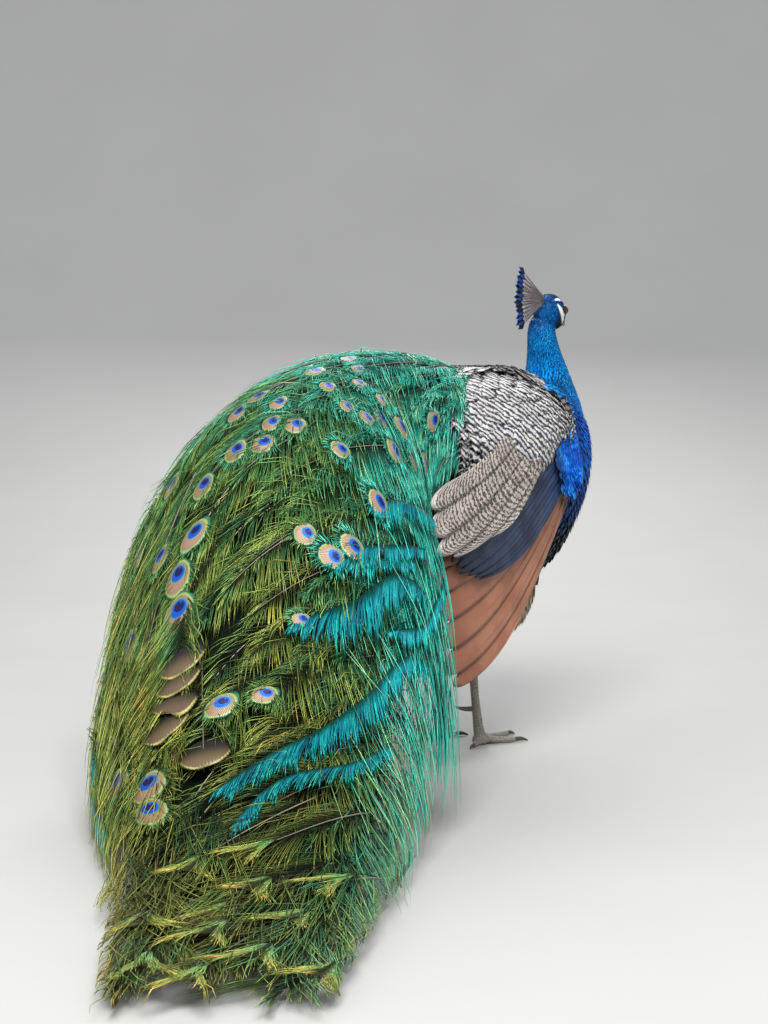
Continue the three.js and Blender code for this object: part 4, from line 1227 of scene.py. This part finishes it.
def trainBarbs():
    chance = np.random.default_rng(52)
    coat = Coat("trainBarbs", paintBarbs(), "train")
    endwards = np.array([[1.0, 0.0]])

    def place(shape, strands, radius, hue, kind, tone, keep=slice(None), flat=0.55):
        path, normal, roots = strands
        coat.add(shape, strandPoints(shape, path, normal, radius, flat)[keep], roots[keep], 0.003,
                 stacked(hue, kind, np.clip(tone, 0, 1))[keep])

    # barbs on both sides of every shaft, in tufts that gather at their ends
    each = [np.arange(1.0, span * 0.95, train["barbGap"]) for span in plumes["span"]]
    f = np.repeat(np.arange(len(each)), [2 * len(e) for e in each])
    count = len(f)
    back = np.repeat(np.concatenate(each), 2) + chance.uniform(-0.8, 0.8, count)
    side = np.tile([-1.0, 1.0], count // 2)
    luck, eyeSize, tufts = plumes["luck"][f], plumes["size"][f], 64
    tuft = (back + luck * 20) / train["clump"]
    tuftLuck = chance.random((len(each), 2, tufts))[f, (side > 0).astype(int), np.floor(tuft).astype(int) % tufts]
    t, v, way = onShaft(f, back)
    lower = side == lowSide(t, v, way)
    tone = (0.04 + 0.66 * tuftLuck + 0.14 * luck) * (1 - 0.55 * ease((t - 0.56) / 0.18))
    tone = tone + 0.15 * ease((0.24 - t) / 0.1) + chance.normal(0, 0.13, count)
    angle = blend(*train["barbAngle"], ease(back / 80)) + 14 * (tuftLuck - 0.5) + chance.normal(0, 4, count)
    length = blend(0.5, 1.0, ease((t - 0.02) / 0.3)) * blend(*train["barbLength"], ease(back / 70))
    length = length * chance.uniform(0.8, 1.15, count) * (0.85 + 0.35 * tuftLuck)
    flank = ease((v - 0.4) / 0.3) * ease((t - 0.15) / 0.15)
    stray = chance.random(count) < 0.1 + 0.2 * flank
    rise = np.where(stray, chance.uniform(0.2, 0.4 + 0.2 * flank), chance.uniform(0.03, 0.16, count))
    landed = ease((t - 0.62) / 0.1)
    outward = landed * ease((np.abs(v) - 0.45) / 0.4) * (side * v > 0)
    angle = np.radians(angle) * (1 - 0.5 * landed) * (1 - 0.5 * outward)
    strands = layStrands(barbStrand, t, v, turned(way, side, angle), length * (1 + 0.35 * landed - 0.3 * outward),
                         (0.45 + 0.9 * tuftLuck) * np.where(stray, 0.5, 1.0), chance.normal(0, 0.2, count),
                         plumes["lift"][f] - train["layer"] * back, rise,
                         way * ((0.5 - tuft % 1) * train["clump"] * 0.9)[:, None])
    webbed = (plumes["web"][f] > 0) & lower
    covered = (eyeSize > 0) & (back < eyeSize * (0.8 - 0.14 * plumes["tile"][f]))
    forked = (plumes["fork"][f] > 0) & (back < 26) & (tuftLuck < 0.6)
    # barbs thinned and left out in patches and in the hollow; the sheet's painted shadow shows there as dark gaps
    thin = 0.55 * (luck < 0.22) + 0.85 * ease((-v - 0.56 + 0.06 * (t > 0.7)) / 0.2) * ease((t - 0.36) / 0.1)
    gaps = np.sin(t * 61 + 3 * np.sin(v * 7)) * np.sin(v * 23 + 2 * np.sin(t * 19))
    thin = thin + 0.75 * landed * (gaps > 0.3)
    hollow = (((stacked(t, v) - train["hollow"]["middle"]) / train["hollow"]["half"]) ** 2).sum(-1) < 1
    keep = ~webbed & ~covered & ~forked & ~hollow & (t > 0.004) & (chance.random(count) > thin)
    radius = train["barbWidth"] * chance.uniform(0.75, 1.2, (count, 1)) * tapers["fine"]
    place(barbStrand, strands, radius, plumes["hue"][f] + 0.12 * (tuftLuck - 0.5), 0, tone, keep)

    # the close web of the one-sided feathers, in two layers
    pick = np.flatnonzero(plumes["web"] > 0)
    for gap, short in train["webLayers"]:
        each = [np.arange(0.5, plumes["span"][i] * 0.97, gap) for i in pick]
        f = np.repeat(pick, [len(e) for e in each])
        back, count = np.concatenate(each), len(f)
        t, v, way = onShaft(f, back)
        share = back / plumes["span"][f]
        length = plumes["web"][f] * 1.35 * (0.3 + 0.7 * ease(back / 45)) * (1 - 0.45 * ease(share * 2 - 1))
        wave = np.sin(back * 0.45 + f) + np.sin(back * 0.19 + 2 * f)
        length = length * short * (chance.uniform(0.78, 1.2, count) + 0.07 * wave)
        angle = np.radians(29 + 3 * wave - 12 * (1 - ease(back / 40)) + chance.normal(0, 2.5, count))
        strands = layStrands(barbStrand, t, v, turned(way, lowSide(t, v, way), angle), length, 0.45 + 0.1 * wave,
                             chance.normal(0, 0.12, count), plumes["lift"][f] - 1.5 + 2.0 * short,
                             chance.uniform(0.05, 0.16, count))
        place(barbStrand, strands, 0.72 * tapers["web"], plumes["hue"][f], 1,
              chance.normal(0.45, 0.2, count) + 0.1 * wave, flat=0.5)

    # the fringe round each eye, and the forked tips
    pick = np.flatnonzero((plumes["size"] > 0) & (plumes["tile"] < 1))
    f = np.repeat(pick, train["fringe"])
    count = len(f)
    turn = np.tile(np.linspace(-150, 150, train["fringe"]), len(pick)) + chance.normal(0, 3, count)
    side, turn = np.sign(turn), np.abs(turn)
    size = plumes["size"][f]
    t, v, way = onShaft(f, size * 0.6)
    reach = size * np.where(turn < 90, 0.46, 0.38) * chance.uniform(0.85, 1.05, count)
    t, v = movedBy(t, v, turned(way, side, np.radians(turn)) * reach[:, None])
    strands = layStrands(barbStrand, t, v, turned(way, side, np.radians(turn * 0.62)),
                         size * chance.uniform(0.25, 0.6, count), chance.uniform(0, 0.3, count),
                         chance.normal(0, 0.15, count), plumes["lift"][f] + 1.0, chance.uniform(0.0, 0.14, count))
    place(barbStrand, strands, 0.6 * tapers["fine"], plumes["hue"][f] - 0.12, 0, 0.25 + 0.65 * chance.random(count))

    pick = np.flatnonzero(plumes["fork"] > 0)
    back = np.arange(0, train["forkReach"], train["forkGap"])
    f = np.repeat(pick, 2 * len(back))
    count = len(f)
    side, back = np.tile([-1.0, 1.0], count // 2), np.tile(np.repeat(back, 2), len(pick))
    t, v, way = onShaft(f, back)
    angle = np.radians(70 - 1.1 * back + 12 * np.sin(f * 3.0) + chance.normal(0, 7, count))
    uneven = 1 + 0.2 * np.sin(f * 5.0 + side)
    length = plumes["fork"][f] * uneven * (1.3 - 0.02 * back) * chance.uniform(0.6, 1.15, count)
    strands = layStrands(barbStrand, t, v, turned(way, side, angle), length, 0.1, -side * 0.75,
                         plumes["lift"][f] + 1.5, 0.1)
    place(barbStrand, strands, 0.85 * tapers["fine"], 0.95 - 0.45 * back / train["forkReach"], 0,
          chance.normal(0.6, 0.18, count))

    # long loose strands that hang from the right edge and trail over the end
    count = train["looseStrands"]
    t = chance.beta(1.6, 1.5, count) * 0.72 + 0.26
    v = np.where(chance.random(count) < 0.6, -1.0, 1.0) * (0.35 + 0.62 * chance.random(count) ** 0.7)
    v = v * (1 - 0.2 * (v < 0) * ease((t - 0.36) / 0.1))
    angle = np.radians(chance.uniform(5, 60, count)) * (1 - 0.8 * ease((t - 0.55) / 0.12))
    strands = layStrands(barbLong, t, v, turned(endwards, np.sign(v), angle),
                         chance.uniform(*train["strandLength"], count) * blend(1.0, 0.75, ease(t * 4 - 3)),
                         chance.uniform(0.2, 0.9, count),
                         chance.normal(0, 0.6, count) - 0.8 * (v < -0.4) * ease((t - 0.3) / 0.2),   # tips swing out
                         chance.uniform(2, 7, count), chance.uniform(0.02, 0.2, count))
    place(barbLong, strands, 0.75 * tapers["long"], hueAt(t, v) + chance.normal(0, 0.1, count), 0,
          chance.uniform(0.3, 0.95, count), (v > -0.5) | (t < 0.45) | (np.arange(count) % 3 > 0))

    # strands over the end of the train, in bunches that run nearly the same way
    bunches, each = train["bunches"]
    count = bunches * each
    bunch = np.repeat(np.arange(bunches), each)
    t = (0.66 + 0.26 * chance.random(bunches))[bunch] + chance.uniform(0, 0.02, count)
    v = chance.uniform(-0.6, 0.8, bunches)[bunch] + chance.normal(0, 0.03, count)
    angle = np.radians(chance.normal(0, 10, bunches)[bunch] + chance.normal(0, 5, count))
    strands = layStrands(barbLong, t, v, turned(endwards, np.ones(count), angle),
                         chance.uniform(*train["bunchLength"], count) * blend(1.0, 0.6, ease(t * 4 - 2.7)), 0.05,
                         chance.normal(0, 0.25, count), chance.uniform(3, 13, count),
                         chance.uniform(0.02, 0.14, count))
    place(barbLong, strands, 0.8 * tapers["long"],
          (0.4 + 0.5 * chance.random(bunches))[bunch] - 0.45 * ease(-v - 0.1), 0,
          chance.random(bunches)[bunch] * 0.5 + chance.uniform(0.05, 0.35, count))

    # shafts
    stops = shaftStrand["stops"]
    f = np.repeat(np.arange(len(plumes["span"])), len(stops))
    back = (plumes["span"][:, None] * (1 - stops)).ravel()
    t, v, _ = onShaft(f, back)
    high = plumes["lift"][f] - train["layer"] * back + np.where(plumes["luck"][f] > 0.68, 2.0, -1.5)
    path, normal = (part.reshape(-1, len(stops), 3) for part in onTrain(t, v, high))
    place(shaftStrand, (path, normal, trainUnwrap(*plumes["lines"][:, -1].T)), blend(*train["quill"], stops),
          plumes["hue"], 2, plumes["luck"], t.reshape(-1, len(stops)).min(1) > 0.004, 0.9)
    coat.finish(*[f"train_tier{i}_{side}" for i in range(1, 5) for side in ("right", "left")], "train_tier5",
                "train_tier6")


trainBarbs()


# The sheet under the barbs: dark above as painted shadow, where it shows between them, and dull brown below.
def trainUnder():
    paint = Paint("trainUndersideAndShadow", Roughness=0.95, Specular_IOR_Level=0.1)
    _, below, _ = paint.split(paint.own("tint"))
    strands = paint.noise(paint.stretch(paint.own("vane"), (60.0, 5.0, 1.0)), 6.0, 4.0)
    # painted shadow: the near-black top side, seen through the gaps between the barbs
    dark = paint.ramp(strands, {0.3: "050705", 0.5: "0d130c", 0.7: "1f2814"})
    dull = paint.ramp(strands, {0.3: "2b2721", 0.5: "575043", 0.7: "80786a"})
    paint.bump(strands, 0.004, 0.8)
    material = paint.wear(Base_Color=paint.mix(below, dark, dull))
    under = bladeShape(72, 36)
    x, y, z = under["at"].T
    coat = Coat("trainUndersideAndShadow", material, "train")
    ragged = 0.03 * np.sin(x * 23) + 0.025 * np.sin(x * 47 + 1)
    for depth, end, below in ((train["underDepth"], 0.86, 0.0), (train["underDepth"] + 3.2, 0.85, 1.0)):
        t = 0.015 + (end + ragged - 0.08 * x * x) * y
        hem = 0.97 - 0.34 * (x < 0) * ease((t - 0.32) / 0.12)
        points, _ = onTrain(t, x * hem, -depth * ease((y + 0.1) / 0.3) - 1.4 * (1 - z))
        points[..., 2] = np.maximum(points[..., 2], 0.3 + 0.8 * (z > 0))
        coat.add(under, points[None], np.array([[0.5, 0.5]]), 0.94, [[0.5, below, 0.5]])
    coat.finish()


trainUnder()


def paintEyespots():
    paint = Paint("eyespots", Roughness=0.38)
    across, along, chance = paint.split(paint.own("vane"))
    _, tile, _ = paint.split(paint.own("tint"))
    dy = along * 2.0 - 1.0
    dx = across * paint.sum("SQRT", paint.sum("MAXIMUM", 1.0 - dy * dy, 0.0))

    def ring(x, y, cx, cy, wide, high):
        a, b = (x - cx) / wide, (y - cy) / high
        return paint.sum("SQRT", a * a + b * b)

    rays = paint.sum("SINE", paint.sum("ARCTAN2", dx, dy + 1.9) * 130.0)
    edge = ring(dx, dy, 0.0, 0.0, 1.0, 1.0) + (paint.noise(paint.own("vane"), 9.0) - 0.5) * 0.1
    colour = paint.layers(paint.mix(chance, "9c7668", "86694c"), (edge, 0.45, 0.7, "7d6f45", 0.6),
                          (edge, 0.7, 0.78, "8fa05c"), (edge, 0.8, 0.88, "2a6b4a"))
    # the tile's brown passes into painted shade, near black, towards its root, where it lies under the barbs
    roof = paint.layers("120c07", (dy, -0.3, 0.7, paint.mix(chance, "4c3b26", "5d4a2c")))
    rim = paint.between(edge, 0.87, 0.92) * paint.between(dy, 0.0, 0.35)
    roof = paint.layers(paint.mix(rim, roof, "a89c58"), (edge, 0.95, 1.0, "4c5a2a", rim))
    blue = ring(dx, dy, 0.0, -0.2, 0.44, 0.38)
    shown = 1.0 - tile
    colour = paint.layers(paint.mix(tile, colour, roof), (blue, 1.2, 1.02, "2c8484", shown),
                          (blue, 1.02, 0.9, "0a50c4", shown))
    deep, notch = ring(dx, dy, 0.0, -0.28, 0.3, 0.24), ring(dx, dy, 0.0, -0.6, 0.08, 0.2)
    colour = paint.layers(colour, (deep, 1.0, 0.86, "0c0d50", paint.between(notch, 0.9, 1.1) * shown))
    colour = paint.mix((rays * 0.09 + 0.09) * (1.0 - tile * 0.6), colour, "0a0c14")
    paint.bump(rays, 0.0002)
    return paint.wear(Base_Color=colour, Metallic=(paint.between(blue, 1.1, 0.9) * 0.35 + 0.15) * shown)


def eyespots():
    chance = np.random.default_rng(53)
    coat = Coat("eyespots", paintEyespots(), "train")
    shape = bladeShape(12, 10)
    x, y, z = shape["at"].T
    f = np.flatnonzero(plumes["size"] > 0)
    size, tile = plumes["size"][f][:, None], plumes["tile"][f][:, None]
    t, v, way = onShaft(f, size[:, 0] * 0.6)
    dy = 2 * y - 1
    wide = np.sqrt(np.clip(1 - dy * dy, 0.02, 1))
    along = (dy + chance.normal(0, 0.12, len(f))[:, None] * x) * size * (0.56 - 0.12 * tile)
    across = x * wide * size * (0.46 + 0.04 * tile)
    shift = along[..., None] * way[:, None] + across[..., None] * stacked(-way[:, 1], way[:, 0])[:, None]
    sunk = tile * np.clip(0.72 - y, 0, 1) * 10.0   # a tile comes out from under the barbs before it
    high = plumes["lift"][f][:, None] + 0.06 * size * (1 - x * x) * wide - sunk + z * 0.3
    points, _ = onTrain(*movedBy(t[:, None], v[:, None], shift), high)
    coat.add(shape, points, trainUnwrap(t, v), 0.03, stacked(t, tile[:, 0], plumes["luck"][f]))
    coat.finish()


eyespots()


# ---- tail feathers under the train
tail = {"feathers": 16, "root": [-172, 372], "tip": [-452, 158], "rootHalf": 26, "tipHalf": 104}


def tailPoint(u, w, out):
    half = blend(tail["rootHalf"], tail["tipHalf"], u)
    s = u * (1 - 0.1 * w * w * u)
    x = blend(tail["root"][0], tail["tip"][0], s)
    z = blend(tail["root"][1], tail["tip"][1], s) - 26 * w * w * s + 14 * np.sin(np.pi * s)
    return stacked(x, -20 * s * s + w * half, z + out)


def tailFeathers():
    count = tail["feathers"]
    chance = np.random.default_rng(61)
    coat = Coat("tailFeathers", paintVane("tailVanes", "5d4c3b", "3f3227", "2b2119", "8b7a66"), "tail")
    x, y, z = leafBroad["at"].T[:, None]
    order = np.arange(count)[:, None]
    w = np.clip((order + 0.5 + 0.8 * x) / count * 2 - 1, -1, 1)
    u = y * (1 - 0.07 * np.abs(x) ** 2.5 * y ** 4 - chance.uniform(0, 0.03, (count, 1)))
    out = 2.6 + 0.52 * np.abs(order / (count - 1) * 2 - 1) + x + z * 0.35
    coat.add(leafBroad, tailPoint(u, w, out), stacked(0.5, 0.1 + 0.8 * order[:, 0] / count), 0.08,
             stacked(350.0, 0, chance.random(count)))
    coat.finish("tail")


tailFeathers()

# ---- bill, eyes, crest, claws and spurs
bill = {
    "upper": [[21, -1, 6.0, 7.6], [28, -1.5, 5.6, 6.6], [38, -2.2, 5.2, 5.6], [48, -3.8, 4.2, 4.2],
              [57, -6.6, 3.0, 2.6], [64, -10.5, 1.3, 1.1], [65, -11.6, 0.5, 0.5]],
    "lower": [[21, -10.2, 3.3, 6.6], [28, -10.3, 3.3, 5.8], [38, -10.4, 3.0, 4.9], [48, -10.8, 2.5, 3.6],
              [58, -12.1, 1.4, 1.9], [60, -12.5, 0.5, 0.7]],
    "nostril": {"at": (37.5, 0.2), "half": (3.6, 1.1), "deep": 1.1},
}


def hornPaint(name, light, dark, rough):
    paint = Paint(name)
    streaks = paint.noise(paint.stretch(paint.place(), (0.5, 1.0, 1.0)), 420.0, 4.0)
    paint.bump(streaks, 0.0003)
    return paint.wear(Base_Color=paint.mix(streaks, light, dark), Roughness=rough + streaks * 0.2)


def billHalf(name, node):
    def place(u, v):
        at = levelTube(bill[name], u, v, 0.0, 2.3)
        if name == "upper":
            ahead, out, up = np.moveaxis(at, -1, 0)
            pit = bill["nostril"]
            ahead, up = ahead - pit["at"][0], up - pit["at"][1]
            hole = pit["deep"] * ease(1.4 - np.hypot(ahead / pit["half"][0], up / pit["half"][1]))
            brow = 0.5 * ease(1.3 - np.hypot(ahead / 5.0, (up - 1.9) / 1.2))
            at[..., 1] += np.sign(out) * (brow - hole)
        return onHead(at)

    piece = made(f"bill{name.title()}", warpedGrid(64, 64, place), hornPaint(f"{name}Bill", "8d857a", "5a544c", 0.32),
                 "bill")
    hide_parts(node)


billHalf("upper", "bill_upper")
billHalf("lower", "bill_lower")


def eyes():
    paint = Paint("wetEye", Roughness=0.08, Specular_IOR_Level=0.3, Coat_Weight=0.35, Coat_Roughness=0.02)
    x, y, _ = paint.split(paint.own("vane"))
    far = paint.sum("SQRT", x * x + y * y)
    iris = paint.mix(paint.noise(paint.own("vane"), 14.0), "5a3620", "38200f")
    material = paint.wear(Base_Color=paint.layers("010101", (far, 0.38, 0.42, iris), (far, 0.68, 0.8, "0c0808")))
    for side, name in ((-1, "right"), (1, "left")):
        shape = bmesh.new()
        bmesh.ops.create_uvsphere(shape, u_segments=48, v_segments=32, radius=face["eyeRadius"])
        ball = np.array([v.co for v in shape.verts])
        moveTo(shape, onHead(ball + face["eye"] * (1, side, 1)))
        bmesh.ops.recalc_face_normals(shape, faces=shape.faces)
        piece = made(f"eye{name.title()}", shape, material, "eye")
        carry(piece.data, "vane", ball[:, [0, 2, 1]] * (1, 1, side) / face["eyeRadius"])
        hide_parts(f"eye_{name}")


eyes()

crest = {"root": (-22, 0, 13), "feathers": 24, "length": 69, "lean": 182, "spread": 67, "turn": -17,
         "tipLength": 19, "tipWidth": 8.2, "quill": 0.75, "loose": 48}


def crestFan():
    paint = Paint("crestPlumes", Roughness=0.4)
    across, along, chance = paint.split(paint.own("vane"))
    off = paint.sum("ABSOLUTE", across)
    middle = paint.between(off, 0.75, 0.2) * paint.between(along, 0.1, 0.5)
    tip = paint.mix(middle * paint.between(chance, 0.3, 0.9), "030812", "063f9e")
    tip = paint.layers(tip, (along, 0.8, 1.0, "0c6470", 0.6))
    paint.bump(paint.sum("SINE", along * 60.0 + off * 14.0), 0.0002)
    code = paint.between(paint.split(paint.own("tint"))[1], 0.4, 0.6)
    stem = paint.mix(chance, "4c4346", "857a7a")
    coat = Coat("crestFan", paint.wear(Base_Color=paint.mix(code, tip, stem), Metallic=0.35 * (1 - code)), "crest")
    chance = np.random.default_rng(71)
    turned = np.array(Matrix.Rotation(math.radians(crest["turn"]), 3, "Z"))
    count = crest["feathers"]
    share = np.arange(count) / (count - 1) - 0.5
    angle = np.radians(crest["lean"] + share * crest["spread"] + chance.normal(0, 0.6, count))
    length = crest["length"] * (1 + 0.3 * share ** 2) * chance.uniform(0.93, 1.0, count)
    out = stacked(np.cos(angle), 0, np.sin(angle))
    side = np.array([0.0, 1.0, 0.0])
    shift = np.where(np.arange(count) % 2, 0.9, -0.9)[:, None] * side

    def onCrown(points):
        return onHead(points @ turned.T + crest["root"])

    def rods(shape, path, radius, places, patch, tint):
        points = strandPoints(shape, path, np.broadcast_to(side, path.shape), radius)
        coat.add(shape, onCrown(points), places, patch, tint)

    stops = shaftStrand["stops"][:, None]
    path = out[:, None] * (length[:, None, None] - 3) * stops + shift[:, None] * np.minimum(1, stops * 4)
    places = stacked(0.2 + 0.6 * (share + 0.5), 0.3)
    rods(shaftStrand, path, crest["quill"] * (1 - 0.55 * stops[:, 0]), places, 0.01,
         stacked(share, 1, chance.random(count)))
    root = out * (length - crest["tipLength"] * 0.98)[:, None] + shift
    tips = bladePoints(leafFine, root, out, np.broadcast_to(side, out.shape),
                       crest["tipLength"] * chance.uniform(0.9, 1.05, count),
                       crest["tipWidth"] * chance.uniform(0.85, 1.0, count), 0.0, 0.8, blunt=0.25, thick=0.35,
                       outline=lambda y: np.sin(np.pi * np.clip(y * 0.94, 0, 1) ** 1.7) ** 0.75 + 0.05)
    coat.add(leafFine, onCrown(tips), places + [0, 0.3], 0.02, stacked(share, 0, chance.random(count)))
    # short loose barbs along the bare shafts
    place = np.tile(np.linspace(0.1, 0.7, crest["loose"]), count)
    which = np.repeat(np.arange(count), crest["loose"])
    hand = np.where(np.arange(len(which)) % 2, 1.0, -1.0)[:, None]
    start = out[which] * (length[which] * place)[:, None] + shift[which]
    reach = (6.0 - 3.4 * place) * chance.uniform(0.6, 1.1, len(which))
    way = (out * 0.8)[which] + np.cross(out, side)[which] * hand * 0.55
    path = start[:, None] + way[:, None] * (reach[:, None] * barbStrand["stops"])[..., None]
    rods(barbStrand, path, [0.34, 0.32, 0.25, 0.0], places[which] + [0, 0.1], 0.004,
         stacked(place, 1, chance.random(len(which))))
    coat.finish("crest")


crestFan()

spur = [[0, 0, 0, 3.4], [-7, 5, 0.5, 2.8], [-15, 9, 2.5, 1.7], [-21, 11, 5.5, 0.5]]


def hornRods(name, rods, material, slot, nodes):
    shapes = [warpedGrid(14, 16, lambda u, v, rod=rod, side=side: mirrored(rodTube(rod, u, v), side))
              for rod, side in rods]
    shape = joined(shapes)
    for vert in shape.verts:
        vert.co.z = max(vert.co.z, 0.0)
    piece = made(name, shape, material, slot)
    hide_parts(*nodes)


hornRods("claws", [(clawRows(name), side) for side in (-1, 1) for name in leg["toes"]],
         hornPaint("clawHorn", "4c443b", "2a2521", 0.35), "horn",
         [f"claw_{name}_{side}" for side in ("right", "left") for name in leg["toes"]])
spurRows = [[leg["foot"][0] - 12 + x, leg["foot"][1] + 4 + y, 46 + z, r] for x, y, z, r in spur]
hornRods("spurs", [(spurRows, side) for side in (-1, 1)], hornPaint("spurHorn", "6b6156", "3d362f", 0.4), "horn",
         ["spur_right", "spur_left"])
print("bill, eyes, crest and horn")

# ---- floor, lights and camera
studio = {
    "world": 0.78, "lookAt": [-200, 0, 250],
    # each lamp's place, power and size
    "lamps": {"key": ([-1700, -1100, 2500], 128, 1.6), "fill": ([-2600, 1500, 1300], 22, 2.4),
              "rim": ([1800, 1200, 1700], 40, 1.4)},
    "azimuth": 56.0, "distance": 2628.0, "perPixel": 1.22, "height": 534.0, "pitch": 5.4, "sideways": 66.0,
    "frameHeight": 1024, "sensor": 36.0, "floorHalf": 9000, "levelTo": 1500, "bendRadius": 2600,
}


def buildStage():
    paint = Paint("paleFloor", Roughness=0.8)
    paint.wear(Base_Color=paint.mix(paint.noise(paint.place(), 3.0), "adaca9", "a6a5a2"))
    shape = bmesh.new()
    bmesh.ops.create_grid(shape, x_segments=160, y_segments=2, size=studio["floorHalf"])
    level, radius = studio["levelTo"], studio["bendRadius"]
    for vert in shape.verts:
        turn = max(0.0, vert.co.x - level) / radius
        bow = min(turn, math.pi / 2)
        vert.co = (min(vert.co.x, level) + radius * math.sin(bow), vert.co.y * 1.2,
                   radius * (1 - math.cos(bow) + turn - bow))
    bmesh.ops.rotate(shape, verts=shape.verts, cent=(0, 0, 0),
                     matrix=Matrix.Rotation(math.radians(90 - studio["azimuth"]), 3, "Z"))
    floor = made("floor", shape, paint.material, None)
    world = bpy.data.worlds.new("studio")
    bpy.context.scene.world = world
    world.use_nodes = True
    sky = world.node_tree.nodes["Background"].inputs
    sky[0].default_value, sky[1].default_value = (0.86, 0.9, 0.95, 1), studio["world"]


def lamp(name, place, power, size):
    data = bpy.data.lights.new(name, "AREA")
    data.energy, data.size = power, size
    thing = bpy.data.objects.new(name, data)
    thing.location = toFrame(place)
    bpy.context.scene.collection.objects.link(thing)
    thing.rotation_mode = "QUATERNION"
    thing.rotation_quaternion = (Vector(toFrame(studio["lookAt"])) - thing.location).to_track_quat("-Z", "Y")


buildStage()
bpy.context.scene.view_settings.view_transform = "Standard"   # deep blues stay deep
for name, (place, power, size) in studio["lamps"].items():
    lamp(name, place, power, size)

turn, tip = math.radians(studio["azimuth"]), math.radians(studio["pitch"])
away = np.array([math.sin(turn), math.cos(turn), 0.0])
right = np.array([math.cos(turn), -math.sin(turn), 0.0])
look = away * math.cos(tip) - np.array([0, 0, 1.0]) * math.sin(tip)
overhead = np.cross(right, look)
cameraData = bpy.data.cameras.new("camera")
cameraData.sensor_width = studio["sensor"]
cameraData.lens = studio["distance"] / studio["perPixel"] / studio["frameHeight"] * studio["sensor"]
camera = bpy.data.objects.new("camera", cameraData)
standing = -studio["distance"] * away - studio["sideways"] * studio["perPixel"] * right + [0, 0, studio["height"]]
camera.matrix_world = Matrix.Translation(Vector(toFrame(standing))) @ Matrix(
    np.stack([right, overhead, -look], -1)).to_4x4()
bpy.context.scene.collection.objects.link(camera)
bpy.context.scene.camera = camera
